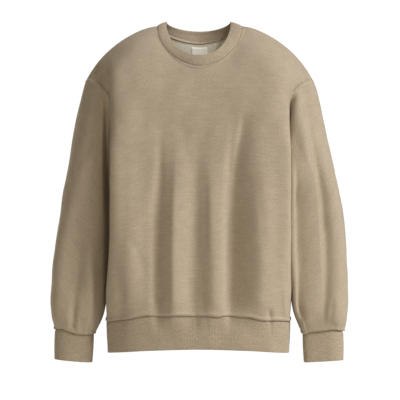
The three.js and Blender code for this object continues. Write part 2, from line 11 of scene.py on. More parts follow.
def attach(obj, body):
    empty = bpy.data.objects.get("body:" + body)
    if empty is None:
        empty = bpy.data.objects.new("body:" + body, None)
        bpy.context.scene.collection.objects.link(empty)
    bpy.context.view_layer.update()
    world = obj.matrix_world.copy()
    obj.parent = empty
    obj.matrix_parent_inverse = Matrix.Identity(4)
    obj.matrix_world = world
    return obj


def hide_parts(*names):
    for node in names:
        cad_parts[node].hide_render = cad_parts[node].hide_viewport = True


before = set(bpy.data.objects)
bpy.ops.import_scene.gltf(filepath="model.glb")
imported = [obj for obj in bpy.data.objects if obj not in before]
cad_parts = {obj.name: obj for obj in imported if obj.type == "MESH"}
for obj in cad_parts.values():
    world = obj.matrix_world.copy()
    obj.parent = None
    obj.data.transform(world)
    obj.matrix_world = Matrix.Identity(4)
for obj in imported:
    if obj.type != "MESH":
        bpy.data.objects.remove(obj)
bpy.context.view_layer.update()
mm = 0.001

# Camera, light and floor
studio = {
    "cameraDistance": 3.5,
    "aimAcross": 0.001,
    "aimHeight": -0.374,
    "viewWidth": 0.86,  # what the picture takes in, level with the middle of the garment
    "sensor": 36,
    "keyWay": (0.75, -0.35, 0.56),
    "keySpread": 34,  # degrees across, as of a softbox a few metres away
    "keyPower": 3.75,
    "keyColour": "#f6fbff",
    "frontWay": (-0.05, -0.96, 0.26),
    "frontPower": 0.7,
    "backWay": (-0.42, 0.86, 0.3),
    "backPower": 1.9,
    "reflectorSpread": 40,
    "fillStrength": 0.15,
    "fillColour": "#fbf5e0",
    "neckLamp": (0.7, -1.75, 0.62),  # a small lamp that looks down into the neck opening
    "neckAim": (-0.004, 0.075, -0.052),
    "neckPower": 76,
    "neckCone": 3.4,
    "neckBlend": 0.7,
    "neckLampRadius": 0.03,
    "backdropBrightness": 1.05,
    "floorHeight": -1.2,
    "floorRadius": 2.3,
    "floorColour": "#f2f0ec",
}

scene = bpy.context.scene
scene.view_settings.view_transform = "Standard"
camera = bpy.data.objects.new("camera", bpy.data.cameras.new("camera"))
camera.location = (studio["aimAcross"], -studio["cameraDistance"], studio["aimHeight"])
camera.rotation_euler = (math.pi / 2, 0, 0)
camera.data.sensor_width = studio["sensor"]
camera.data.lens = studio["sensor"] * studio["cameraDistance"] / studio["viewWidth"]
scene.collection.objects.link(camera)
scene.camera = camera


# Small helpers
def toLinear(hexColour):
    parts = [int(hexColour[i:i + 2], 16) / 255 for i in (1, 3, 5)]
    return [p / 12.92 if p <= 0.04045 else ((p + 0.055) / 1.055) ** 2.4 for p in parts] + [1]


def addNode(tree, kind, links=None, inputs=None, **settings):
    made = tree.nodes.new(kind)
    for name, value in settings.items():
        setattr(made, name, value)
    for socket, value in (inputs or {}).items():
        made.inputs[socket].default_value = value
    for socket, source in (links or {}).items():
        tree.links.new(source, made.inputs[socket])
    return made


def smooth(value, start, end):
    share = np.clip((np.asarray(value, float) - start) / (end - start), 0, 1)
    return share * share * (3 - 2 * share)


def mix(start, end, share):
    return start + (end - start) * share


# 1 in the middle, falling away on both sides
def hump(offset, halfWidth):
    return np.exp(-((offset / halfWidth) ** 2))


def lengthAlong(line):
    return np.concatenate([[0], np.cumsum(np.linalg.norm(np.diff(line, axis=0), axis=1))])


# Columns of values that are known at some places, read at others
def readAlong(values, places, at):
    return np.stack([np.interp(at, places, column) for column in values.T], axis=-1)


# A value between the rows of a short table, by a monotone cubic
def readTable(places, values, at):
    places, values = np.array(places, float), np.array(values, float)
    if places[0] > places[-1]:
        places, values = places[::-1], values[::-1]
    slope = np.diff(values) / np.diff(places)
    tangent = np.concatenate([slope[:1], np.zeros(len(slope) - 1), slope[-1:]])
    same = slope[:-1] * slope[1:] > 0
    tangent[1:-1][same] = (2 * slope[:-1] * slope[1:] / np.where(same, slope[:-1] + slope[1:], 1))[same]
    at = np.clip(at, places[0], places[-1])
    row = np.clip(np.searchsorted(places, at, side="right") - 1, 0, len(places) - 2)
    width = places[row + 1] - places[row]
    t = (at - places[row]) / width
    low, high = values[row], values[row + 1]
    leave, arrive = tangent[row] * width, tangent[row + 1] * width
    cubic = 3 * (high - low) - 2 * leave - arrive + t * (2 * (low - high) + leave + arrive)
    return low + t * (leave + t * cubic)


# Places along a length, closer together towards the ends that are seams
def graded(length, fine, coarse, ends=("start", "end"), growth=1.35):
    steps = [0]
    size = fine
    limit = length / 2 if len(ends) == 2 else length
    while steps[-1] < limit:
        steps.append(steps[-1] + size)
        size = min(size * growth, coarse)
    steps = np.array(steps) / steps[-1] * limit
    if len(ends) == 2:
        steps = np.concatenate([steps, length - steps[-2::-1]])
    return length - steps[::-1] if ends == ("end",) else steps


# The body: the sizes of the solids, but for the armhole, the front's right edge and the front near the hem
sideSign = {"front": -1, "back": 1}
body = {
    "neckHalfWidth": 92,
    "neckDrop": {"front": 92, "back": 31},
    "neckDepth": {"front": 76, "back": 62},
    "neckRoundness": {"front": 1.8, "back": 1.6},
    "shoulderCurve": ((0.8, 1.6), (0.2, 6)),  # two parts of the shoulder's drop: share, and how late it comes
    "tip": (244, -116),
    "armpit": (168, -330),
    "armholeDepth": {"front": 59, "back": 56},
    "armholeDeepest": 0.56,  # where on the way up from the armpit it is deepest
    "armholeClosing": (14, 0.6),  # how late and how roundly it closes at the tip
    "armholeLean": 21.5,  # how far it leans out on the way up, before it turns out to the tip
    "armholeTurn": 12,  # how late it does so
    "hemSeam": -632,
    "hemRise": {"front": 18, "back": 2},
    "hemSway": -2.5,
    "tilt": (0.4, 1.6),  # where on the way up the rows begin to follow the shoulder, and how late they do
    "topFit": 0.72,  # where on the way up the rows begin to close on the top seam
    "hemFolds": (0.2, 60),  # the share of the folds' height that is left at the hem, and how far up it grows
    "foldSway": (2.2, 64),  # how far the folds sway to the sides, and their height for each radian of it
    "foldEnd": (2.2, 3.2),  # where on the way round from the middle the folds fade, in spans
    "lumps": 0.6,
    "seamFade": 20,  # how far from a seam creases and lumps reach their height
    "hemCreases": (0.6, 16),  # the share of their height at the hem, and how far up it grows
    "hemWaves": {"front": [(-115, 22, 3), (-5, 45, -3), (38, 11, -3), (80, 14, -1), (135, 25, -4.5)],
                 "back": [(-90, 30, -2.5), (20, 34, 2), (120, 24, -2)]},  # middle, half-width, rise
    "hemWaveReach": 90,
    "wall": 1.8,
    "spanCells": (32, 18, 14, 12),  # across, from the middle: to neck, shoulder, corner and behind
    "edgeCells": (0.03, 0.09),  # smallest and largest share of the last span, up to the edge
    "seamStep": 1,
    "rowStep": 3.6,
}
relaxing = {"from": 0.66, "to": 0.8, "share": 0.5, "passes": 240}  # from and to as shares of the way up

# On the wearer's right the front's edge is drawn towards the middle and stands forward, in a clear line
rightEdge = {
    "in": 5,
    "out": 7,
    "across": (110, 180),  # it grows over this range towards the side,
    "up": (-600, -440),  # over this one up from the hem
    "below": (120, 200),  # and over this one down from the shoulders
    "round": (4, 4.8),  # and fades over this one behind the corner, in spans from the middle
    "outRound": (3.05, 3.7),  # the same for how far it stands forward
}

# How far from the middle the guides of a panel start at the hem and end at the top seam
guideX = {
    "centre": (0, 0),
    "neck": (105, 92),
    "shoulder": (160, 150),
    "corner": (191, 196),
    "behind": (194, 222),
}
sectionPlaces = [0, 0.1, 0.25, 0.42, 0.5, 0.585, 0.72, 0.83, 0.91, 0.96, 0.985, 1]
sections = {
    "front": {
        "centre": [112, 115, 117, 117, 116, 115, 110, 103, 94, 85, 80, 76],
        "neck": [107, 112, 116, 117, 116, 115, 108, 93, 68, 41, 23, 0],
        "shoulder": [93, 105, 113, 115, 114, 113, 109, 97, 79, 58, 37, 0],
        "cornerX": [191, 191, 190, 190, 190, 190, 190, 190, 190, 192, 195, 196],
        "corner": [64, 83, 97, 103, 103, 103, 99, 91, 77, 58, 37, 0],
        "behindX": [194, 196, 190, 183, 180, 179, 189, 191, 194, 201, 211, 222],
        "behind": [32, 42, 46, 50, 51, 56, 73, 71, 65, 54, 36, 0],
    },
    "back": {
        "centre": [114, 120, 118, 114, 114, 115, 117, 112, 93, 78, 68, 62],
        "neck": [101, 108, 108, 107, 107, 108, 106, 92, 66, 40, 23, 0],
        "shoulder": [74, 85, 90, 93, 94, 95, 97, 88, 72, 53, 35, 0],
        "cornerX": [181, 187, 189, 188, 188, 188, 189, 190, 190, 192, 195, 196],
        "corner": [45, 60, 67, 71, 73, 76, 78, 75, 69, 53, 35, 0],
        "behindX": [194, 196, 190, 183, 179, 178, 188, 191, 194, 201, 211, 222],
        "behind": [21, 31, 35, 39, 40, 45, 66, 66, 62, 51, 35, 0],
    },
}
sideSeam = {"up": [0, 0.1, 0.25, 0.42, 0.5, 0.585], "x": [197, 193, 186, 177, 172, 168]}
shoulderSeam = {"turn": [1, 2, 3, 4, 5], "x": [92, 150, 196, 222, 244]}

# Hanging folds: middle at the top and at the hem, half-widths to the wearer's right and left, height,
# and the heights between which each grows to its full depth
foldColumns = ("topX", "bottomX", "right", "left", "height", "startZ", "fullZ")
bodyFolds = {
    "front": [
        (-140, -144, 28, 28, 4, -330, -560),
        (-80, -88, 11, 12, -14.5, -175, -560),
        (-48, -56, 12, 27, 8.5, -190, -420),
        (-8, -10, 16, 14, -7, -190, -470),
        (26, 27, 16, 22, 8, -190, -470),
        (70, 64, 11, 32, -19.5, -165, -470),
        (124, 128, 28, 22, 8, -165, -420),
    ],
    "back": [
        (-120, -134, 22, 22, 7, -190, -470),
        (-74, -84, 16, 24, -9, -170, -450),
        (-28, -34, 24, 20, 8, -210, -490),
        (16, 14, 16, 20, -7, -180, -460),
        (58, 64, 22, 26, 9, -200, -480),
        (108, 120, 22, 18, -7, -190, -440),
    ],
}

# Creases given one by one: the points (across, up) of a path from the top down, half-widths to the wearer's
# right and left, height, and how far it takes to fade at each end
creaseColumns = ("path", "right", "left", "height", "fade")
frontCreases = [
    ([(-52, -300), (-54, -420), (-56, -520), (-58, -628)], 5, 12, 1.6, (120, 30)),
    ([(98, -175), (84, -250), (73, -330), (67, -420), (62, -520), (61, -628)], 6, 14, -3.6, (60, 20)),
    ([(-84, -230), (-80, -330), (-78, -450)], 9, 7, -1.6, (90, 120)),
    ([(12, -300), (14, -420), (6, -560)], 7, 6, -1.6, (90, 90)),
    ([(-3, -440), (4, -540), (8, -625)], 8, 6, -1.4, (60, 30)),
    ([(118, -310), (132, -420), (136, -520)], 8, 10, -1.5, (90, 100)),
    ([(145, -592), (150, -634)], 4, 5, -5.0, (22, 2)),
    ([(-184, -66), (-185, -120), (-184, -300), (-186, -470)], 5, 20, 2.5, (30, 130)),
    ([(-193, -90), (-194, -125), (-195, -165)], 5, 4, -7, (24, 10)),
    ([(-176, -480), (-170, -560), (-166, -632)], 10, 13, -4, (90, 4)),
    ([(-8, -596), (-4, -634)], 4, 5, -2.6, (24, 2)),
    ([(12, -604), (18, -634)], 4, 5, -2.4, (20, 2)),
    ([(-92, -610), (-90, -634)], 5, 5, -2.2, (18, 2)),
    ([(176, -552), (181, -626)], 4, 4, 2.0, (30, 14)),
    ([(-176, -548), (-177, -590)], 5, 5, 2.0, (18, 18)),
    ([(-158, -545), (-160, -600)], 5, 5, -2.2, (26, 24)),
    ([(216, -78), (221, -96), (224, -115)], 4, 6, -4.2, (16, 14)),
    ([(-216, -74), (-222, -96), (-228, -116)], 9, 6, -4.0, (22, 16)),
    ([(176, -112), (182, -160), (150, -235)], 16, 12, -2.0, (50, 70)),
    ([(-178, -120), (-172, -190), (-140, -260)], 12, 16, -1.8, (50, 70)),
    ([(-150, -440), (-120, -505), (-108, -560)], 9, 9, -1.4, (40, 50)),
    ([(-40, -190), (-28, -260), (-22, -340)], 12, 10, -1.2, (60, 60)),
]
backCreases = [
    ([(-70, -300), (-76, -430), (-84, -625)], 6, 12, -2.6, (110, 24)),
    ([(-30, -330), (-36, -450), (-40, -628)], 10, 5, 2.2, (110, 30)),
    ([(62, -300), (66, -420), (72, -600)], 12, 5, 2.4, (110, 40)),
    ([(118, -360), (126, -480), (130, -622)], 5, 9, -2.2, (90, 20)),
    ([(20, -520), (16, -628)], 4, 6, -2.4, (50, 6)),
    ([(-140, -560), (-146, -630)], 5, 4, -2.4, (36, 5)),
    ([(170, -130), (150, -200), (96, -260)], 14, 14, -2.2, (50, 80)),
    ([(-172, -128), (-160, -190), (-110, -262)], 14, 14, -2.4, (50, 80)),
    ([(-60, -70), (0, -86), (64, -68)], 10, 12, -1.6, (40, 40)),
    ([(220, -80), (226, -114)], 5, 7, -3.0, (16, 12)),
    ([(-218, -78), (-226, -114)], 7, 5, -3.0, (16, 12)),
]
armpitUp = (body["armpit"][1] - body["hemSeam"]) / (body["tip"][1] - body["hemSeam"])


def points3(x, y, z):
    return np.stack(np.broadcast_arrays(x, y, z), axis=-1).astype(float)


def shoulderLine(x):
    share = np.clip((x - body["neckHalfWidth"]) / (body["tip"][0] - body["neckHalfWidth"]), 0, 1)
    return body["tip"][1] * sum(part * share ** power for part, power in body["shoulderCurve"])


def neckSeam(side, turn):
    angle = turn * math.pi / 2
    power = 2 / body["neckRoundness"][side]
    across = body["neckHalfWidth"] * np.sin(angle) ** power
    ahead = np.abs(np.cos(angle))
    out = sideSign[side] * body["neckDepth"][side] * ahead
    return points3(across, out, -body["neckDrop"][side] * ahead ** power)


def armholeSeam(side, climb):
    (armpitX, armpitZ), (tipX, tipZ) = body["armpit"], body["tip"]
    rise = np.minimum(climb / body["armholeDeepest"], 1)
    late, roundness = body["armholeClosing"]
    out = body["armholeDepth"][side] * np.sqrt(1 - (1 - rise) ** 2) * (1 - climb ** late) ** roundness
    lean = body["armholeLean"]
    x = armpitX + lean * (1 - (1 - climb) ** 2) + (tipX - armpitX - lean) * climb ** body["armholeTurn"]
    return points3(x, sideSign[side] * out, mix(armpitZ, tipZ, climb))


def panelEdge(side, ups):
    climb = np.clip((ups - armpitUp) / (1 - armpitUp), 0, 1)
    x = readTable(sideSeam["up"], sideSeam["x"], ups)
    seam = points3(x, 0, mix(body["hemSeam"], body["tip"][1], ups))
    return np.where((ups > armpitUp)[:, None], armholeSeam(side, climb), seam)


# The six points that each half row passes through, from the middle to the edge
def guides(side, ups):
    get = lambda key: readTable(sectionPlaces, sections[side][key], ups)
    level = mix(body["hemSeam"], body["tip"][1], ups)
    tiltFrom, late = body["tilt"]
    tilt = np.maximum(0, (ups - tiltFrom) / (1 - tiltFrom)) ** late
    rows = []
    for name, (bottomX, topX) in guideX.items():
        x = get(name + "X") if name + "X" in sections[side] else mix(bottomX, topX, ups)
        rise = body["hemRise"][side] * (1 - (bottomX / sideSeam["x"][0]) ** 2)
        topZ = -body["neckDrop"][side] if name == "centre" else shoulderLine(topX)
        z = level + rise * (1 - ups) + (topZ - body["tip"][1]) * tilt
        rows.append(points3(x, sideSign[side] * get(name), z))
    return np.stack([*rows, panelEdge(side, ups)])


# Smooth half rows through the guides, mirrored so that they cross the middle level: a centripetal Catmull-Rom
def rowPoints(side, turns, ups):
    half = guides(side, ups)
    line = np.concatenate([half[:0:-1] * [-1, 1, 1], half, [2 * half[-1] - half[-2]]])
    span = np.minimum(np.floor(turns).astype(int), 4)
    t = (turns - span)[:, None, None]
    before, start, end, after = (line[4 + k + span] for k in range(4))
    root = lambda a, b: np.sum((b - a) ** 2, axis=-1, keepdims=True) ** 0.25
    d0, d1, d2 = root(before, start), root(start, end), root(end, after)
    leave = ((start - before) / d0 - (end - before) / (d0 + d1) + (end - start) / d1) * d1
    arrive = ((end - start) / d1 - (after - start) / (d1 + d2) + (after - end) / d2) * d1
    cubic = 3 * (end - start) - 2 * leave - arrive + t * (2 * (start - end) + leave + arrive)
    return np.swapaxes(start + t * (leave + t * cubic), 0, 1)


def topSeam(side, turns):
    x = readTable(shoulderSeam["turn"], shoulderSeam["x"], turns)
    shoulder = points3(x, 0, shoulderLine(x))
    return np.where((turns <= 1)[:, None], neckSeam(side, np.minimum(turns, 1)), shoulder)


# Height of the hanging folds
def foldHeight(side, turns, x, z):
    total = np.zeros_like(x)
    sway, swayLength = body["foldSway"]
    for row in bodyFolds[side]:
        fold = dict(zip(foldColumns, row))
        offset = x - mix(fold["topX"], fold["bottomX"], smooth(z, body["tip"][1], body["hemSeam"]))
        offset += sway * np.sin(z / swayLength + fold["topX"])
        width = np.where(offset < 0, fold["right"], fold["left"])
        total += fold["height"] * smooth(z, fold["startZ"], fold["fullZ"]) * hump(offset, width)
    kept, reach = body["hemFolds"]
    hem = mix(kept, 1, smooth(z, body["hemSeam"], body["hemSeam"] + reach))
    return total * (1 - smooth(np.abs(turns), *body["foldEnd"])) * hem


# Height of the creases whose paths lie in the plane of X and Z
def creaseHeight(x, z, creases, samples=33):
    total = np.zeros_like(x)
    for row in creases:
        crease = dict(zip(creaseColumns, row))
        path = np.array(crease["path"], float)
        knots, fine = np.linspace(0, 1, len(path)), np.linspace(0, 1, samples)
        line = np.stack([readTable(knots, path[:, k], fine) for k in (0, 1)], axis=-1)
        step = np.gradient(line, axis=0)
        length = lengthAlong(line)
        step /= np.linalg.norm(step, axis=1)[:, None]
        away = np.stack([x, z], axis=-1)[..., None, :] - line
        nearest = np.argmin(np.sum(away ** 2, axis=-1), axis=-1)
        away = np.take_along_axis(away, nearest[..., None, None], axis=-2)[..., 0, :]
        ahead = step[nearest]
        offset = ahead[..., 0] * away[..., 1] - ahead[..., 1] * away[..., 0]
        along = length[nearest] + np.sum(ahead * away, axis=-1)
        width = np.where(offset < 0, crease["right"], crease["left"])
        fadeIn, fadeOut = crease["fade"]
        fade = smooth(along, 0, fadeIn) * smooth(length[-1] - along, 0, fadeOut)
        total += crease["height"] * fade * hump(offset, width)
    return total


# Soft uneven lumps, as in cloth that isn't pressed. An upward value below 1 makes them longer up and down,
# and falling makes the short ones lower.
unevenness = {"wavelengths": (30, 44, 63, 90), "each": 3, "upward": 0.5, "falling": 0.7}


def lumps(points, seed, height):
    random = np.random.default_rng(seed)
    total = np.zeros(points.shape[:-1])
    for wavelength in unevenness["wavelengths"]:
        size = (wavelength / unevenness["wavelengths"][-1]) ** unevenness["falling"]
        for _ in range(unevenness["each"]):
            way = random.normal(size=3) * [1, 1, unevenness["upward"]]
            way *= 2 * math.pi / wavelength / np.linalg.norm(way)
            total += size * np.sin(points @ way + random.uniform(0, 2 * math.pi))
    return height * total / unevenness["each"]


def gridNormals(points, ring=False):
    across = np.roll(points, -1, 1) - np.roll(points, 1, 1) if ring else np.gradient(points, axis=1)
    normal = np.cross(across, np.gradient(points, axis=0))
    normal /= np.maximum(np.linalg.norm(normal, axis=-1, keepdims=True), 1e-9)
    away = points - points.mean(axis=1, keepdims=True) * ([1, 1, 1] if ring else [0, 0, 1])
    return normal * np.sign(np.sum(normal * away))


# Distances along the rows and down the columns of a grid, as places on the flat cloth
def flatPlaces(points, middle=0):
    across = np.linalg.norm(np.diff(points, axis=1), axis=-1)
    across = np.concatenate([np.zeros((len(points), 1)), np.cumsum(across, axis=1)], axis=1)
    down = np.linalg.norm(np.diff(points, axis=0), axis=-1)
    down = np.concatenate([np.zeros((1, points.shape[1])), np.cumsum(down, axis=0)], axis=0)
    return np.stack([across - across[:, middle:middle + 1], down], axis=-1)


# How cloth is drawn in at a seam: by how much, and the height, distance and half-width of the low ridge
# that its turned edge makes beside it
seams = {
    "hem": (1.4, 3.0, 4.4, 2.8),
    "neck": (0.7, 0.9, 3.6, 2.2),
    "shoulder": (1.0, 0.4, 3.6, 2.2),
    "side": (0.3, 0.5, 3.6, 2.2),
    "armhole": (0.2, 0.6, 3.6, 2.2),
    "cuff": (1.2, 2.8, 4.0, 2.6),
}
dipHalfWidth = 1.5
facingFrom = 0.35  # creases reach their full height where the cloth faces front or back by this share


def seamForm(distance, seam):
    dip, ridge, ridgeAt, halfWidth = seams[seam]
    return ridge * hump(distance - ridgeAt, halfWidth) - dip * hump(distance, dipHalfWidth)


halfTurns = np.concatenate([
    *[span + np.arange(count) / count for span, count in enumerate(body["spanCells"])],
    len(body["spanCells"]) + graded(1, *body["edgeCells"], ("end",)),
])
turns = np.concatenate([-halfTurns[:0:-1], halfTurns])
bodyLength = body["tip"][1] - body["hemSeam"]
ups = graded(bodyLength, body["seamStep"], body["rowStep"]) / bodyLength
middleColumn = len(turns) // 2


# The cloth evens out where the neckline turns into the shoulder
def relax(points):
    share = relaxing["share"] * smooth(ups, relaxing["from"], relaxing["to"])[1:-1, None, None]
    for _ in range(relaxing["passes"]):
        mean = (points[:-2, 1:-1] + points[2:, 1:-1] + points[1:-1, :-2] + points[1:-1, 2:]) / 4
        points[1:-1, 1:-1] += (mean - points[1:-1, 1:-1]) * share
    return points


# A body panel: its smooth base, and the same points with folds, creases and seams
def panelPoints(side, creases, seed):
    half = np.abs(turns)
    base = rowPoints(side, half, ups)
    miss = topSeam(side, half) - rowPoints(side, half, np.ones(1))[0]
    base += smooth(ups, body["topFit"], 1)[:, None, None] * miss
    base[..., 0] *= np.where(turns < 0, -1, 1)
    base = relax(base)
    base[..., 0] += body["hemSway"] * smooth(ups, armpitUp, 0)[:, None]
    if side == "front":
        share = smooth(-base[..., 0], *rightEdge["across"]) * (1 - smooth(half, *rightEdge["round"]))
        share = share * smooth(base[..., 2], *rightEdge["up"]) * smooth(-base[..., 2], *rightEdge["below"])
        base[..., 0] += rightEdge["in"] * share
        base[..., 1] -= rightEdge["out"] * share * (1 - smooth(half, *rightEdge["outRound"]))
    x, z = base[..., 0], base[..., 2]
    flat = flatPlaces(base, middleColumn)
    fromHem = flat[..., 1]
    fromTop = flat[-1:, :, 1] - fromHem
    fromEdge = np.minimum(flat[:, -1:, 0] - flat[..., 0], flat[..., 0] - flat[:, :1, 0])
    inside = smooth(fromEdge, 0, body["seamFade"]) * smooth(fromTop, 0, body["seamFade"])
    normal = gridNormals(base)
    facing = smooth(sideSign[side] * normal[..., 1], 0, facingFrom)
    soft = creaseHeight(x, z, creases) * facing + lumps(base, seed, body["lumps"])
    kept, reach = body["hemCreases"]
    height = soft * inside * mix(kept, 1, smooth(fromHem, 0, reach))
    height += seamForm(fromHem, "hem")
    height += np.where(np.abs(turns) <= 1, seamForm(fromTop, "neck"), seamForm(fromTop, "shoulder"))
    height += seamForm(fromEdge, "side")
    points = base + normal * height[..., None]
    points[..., 1] += sideSign[side] * foldHeight(side, turns, x, z)
    for middle, halfWidth, rise in body["hemWaves"][side]:
        wave = rise * hump(x - middle, halfWidth)
        points[..., 2] += wave * (1 - smooth(fromHem, 0, body["hemWaveReach"]))
    return base, points


frontBase, frontPoints = panelPoints("front", frontCreases, 11)
backBase, backPoints = panelPoints("back", backCreases, 12)
print("body panels shaped", frontPoints.shape)

# The sleeves: rings below the armpit, from the armhole to the cuff seam
sleeve = {
    "around": 120,
    "endsCloser": 0.6,  # how much closer the points lie towards both ends of the armhole
    "bulge": 9,  # how full the sleeve's head is
    "bulgeSpan": 80,  # the distance from seam to ring from which it is as full as that
    "underarm": 20,  # how far the cloth runs out level from the armpit before it turns down
    "reach": 0.34,
    "squareness": 2.4,  # of the sections below the armpit: 2 is an ellipse, and more is flatter
    "bodySquareness": {"left": 9, "right": 2.3},  # the same for the front quarter that lies against the body
    # Where the front draws back beside the body (or comes forward, if less than 0): from and to what place
    # across, by what share, and over what length below the seam it grows
    "pinch": {"left": (238, 193, -0.22, 34), "right": (205, 193, 0.88, 60)},
    "pinchEnd": 90,  # how far above the cuff seam the pinch begins to fade
    "tuck": 3,  # how far the cloth reaches in behind the armhole seam
    "tuckDepth": 0.95,  # and how deep it is there, as a share of the seam's depth
    "headLength": 240,
    "seamSteps": (1, 0.8),  # row spacing at the armhole and at the cuff seam
    "step": 3.7,
    "slopeStep": 4,  # how far above and below a ring its slope is read
    "lumps": 0.8,
    "seamFade": 25,  # how far below the armhole seam folds, creases and lumps reach their height
    "cuffLumps": (0.4, 30),  # the share of the lumps' height at the cuff seam, and how far up it grows
    "underarmSeam": (1.0, 1.6, 10, 30),  # depth, half-width in degrees, and where below the armhole it starts
    "wall": 1.8,
}
ringColumns = ("z", "rightInner", "rightOuter", "leftInner", "leftOuter", "y", "deep")
sleeveRings = [
    (-350, 184.5, 290.5, 188.5, 298, 0, 73),
    (-378, 186, 294.5, 187.5, 303.5, 0, 70),
    (-410, 187.5, 299.5, 187.5, 308.5, -1, 67),
    (-450, 190, 305.5, 188, 312.8, -3, 63),
    (-490, 192, 311, 189.5, 315.3, -6, 60),
    (-530, 195.5, 315, 191, 317.2, -9, 58),
    (-568, 198.5, 317, 194.5, 318.2, -13, 56),
    (-600, 202.5, 318, 198.5, 318.2, -16, 55),
    (-624, 209, 317.5, 206, 316.5, -18, 52),
    (-641, 216, 315, 212, 313.5, -20, 46),
    (-652, 222.5, 311.5, 217, 309.5, -21, 37),
    (-657, 226, 309, 220.5, 306.5, -21, 31),
]
ringTable = {name: [row[k] for row in sleeveRings] for k, name in enumerate(ringColumns)}

# Folds along the sleeves. Angles go round from the body (0) over the front (90) to the outside (180).
sleeveFoldColumns = ("angleTop", "angleBottom", "halfWidth", "height", "start", "end", "fade")
sleeveFolds = {
    "left": [
        (136, 128, 24, 3, 0.3, 0.95, 0.2),
        (250, 262, 24, -6, 0.3, 0.9, 0.25),
        (300, 296, 20, 4, 0.45, 0.95, 0.2),
    ],
    "right": [
        (130, 138, 24, 5, 0.4, 0.97, 0.22),
        (92, 106, 18, -7, 0.48, 0.98, 0.2),
        (66, 72, 22, 5, 0.5, 0.97, 0.2),
        (128, 122, 20, -4, 0.12, 0.5, 0.2),
        (256, 268, 24, -6, 0.32, 0.92, 0.25),
        (220, 226, 20, 4, 0.45, 0.95, 0.2),
    ],
}

# Creases of the sleeves as seen from the front and from the back. Across is counted outwards from the middle
# of the body on both sides, so the first half-width is on the side towards the body.
sleeveCreases = {
    "left": {
        "front": [
            ([(201, -270), (208, -374), (210, -460), (213, -525), (211, -590), (214, -645)],
             6, 11, -13, (120, 40)),
            ([(192, -180), (191, -300), (191, -420), (194, -560)], 5, 9, 5.5, (50, 60)),
            ([(203, -130), (208, -190), (223, -288), (233, -374), (242, -460), (243, -600)],
             14, 12, 8, (40, 50)),
            ([(223, -122), (231, -190), (244, -270), (259, -374), (268, -500), (264, -600), (262, -650)],
             9, 12, -6, (24, 20)),
            ([(266, -560), (263, -610), (262, -652)], 6, 9, -2.5, (50, 8)),
            ([(254, -600), (252, -650)], 4, 4, 1.8, (30, 8)),
            ([(284, -570), (280, -610), (278, -650)], 6, 5, -2.6, (36, 8)),
            ([(222, -86), (226, -104), (229, -122)], 4, 4, -3.0, (14, 14)),
        ],
        "back": [
            ([(250, -330), (246, -440), (240, -560)], 8, 10, -3.0, (80, 60)),
            ([(284, -420), (276, -540), (268, -640)], 7, 9, -2.6, (70, 20)),
            ([(228, -560), (240, -648)], 5, 5, -2.4, (40, 10)),
        ],
    },
    "right": {
        "front": [
            ([(250, -440), (256, -520), (265, -590), (267, -650)], 9, 7, -4.4, (90, 6)),
            ([(263, -586), (267, -650)], 5, 5, -4.0, (26, 4)),
            ([(234, -440), (230, -520), (229, -590), (236, -645)], 8, 9, 4.2, (70, 24)),
            ([(250, -330), (254, -420), (250, -500)], 10, 10, -1.4, (70, 70)),
            ([(226, -170), (232, -240), (240, -320)], 9, 9, -1.8, (50, 70)),
            ([(250, -600), (252, -650)], 5, 4, -2.0, (30, 8)),
        ],
        "back": [
            ([(244, -320), (246, -430), (240, -560)], 9, 9, -3.0, (80, 60)),
            ([(276, -400), (284, -520), (282, -640)], 8, 8, -2.4, (70, 20)),
            ([(256, -570), (252, -650)], 5, 5, -2.6, (40, 8)),
        ],
    },
}

# How the cuff seam rises and falls round the wrist (angle, half-width, height), and the gathers beside it
cuffSeamWave = {
    "left": [(104, 30, 7), (150, 30, 3), (58, 18, -1)],
    "right": [(150, 46, 6.5), (116, 20, 4), (64, 26, -1.5), (300, 40, 3)],
}
cuffWaveReach = 50
gathers = {
    "count": 15,
    "height": 1.1,
    "length": 34,
    "shift": 0.3,  # how far one may stand from its even place, as a share of the spacing
    "heights": (0.4, 1.4),
    "lengths": (0.6, 1.6),
    "halfWidths": (4, 6.5),  # degrees
    "seamFade": 5,
}


# Degrees round the sleeve from a place to an angle, from -180 to 180
def degreesFrom(place, angle):
    return (angle - place + 180) % 360 - 180


def roundWave(angle, rows):
    total = np.zeros_like(angle)
    for middle, halfWidth, height in rows:
        total += height * hump(degreesFrom(middle, angle), halfWidth)
    return total


def tubeRings(wearerSide, z, count):
    get = lambda key, at: readTable(ringTable["z"], ringTable[key], at)
    inner, outer = wearerSide + "Inner", wearerSide + "Outer"
    middle = lambda at: points3((get(inner, at) + get(outer, at)) / 2, get("y", at), at)
    half = (get(outer, z) - get(inner, z)) / 2
    axis = middle(z - sleeve["slopeStep"]) - middle(z + sleeve["slopeStep"])
    axis /= np.linalg.norm(axis, axis=-1, keepdims=True)
    inward = points3(axis[:, 2], 0, -axis[:, 0])
    inward /= np.linalg.norm(inward, axis=-1, keepdims=True)
    forward = np.cross(inward, axis)
    forward /= np.linalg.norm(forward, axis=-1, keepdims=True)
    angle = 2 * math.pi * np.arange(count) / count
    power = 2 / np.where(angle < math.pi / 2, sleeve["bodySquareness"][wearerSide], sleeve["squareness"])
    square = lambda share: np.sign(share) * np.abs(share) ** power
    across = (half[:, None] * square(np.cos(angle)))[..., None] * inward[:, None]
    ahead = (get("deep", z)[:, None] * square(np.sin(angle)))[..., None] * forward[:, None]
    return middle(z)[:, None] + across + ahead


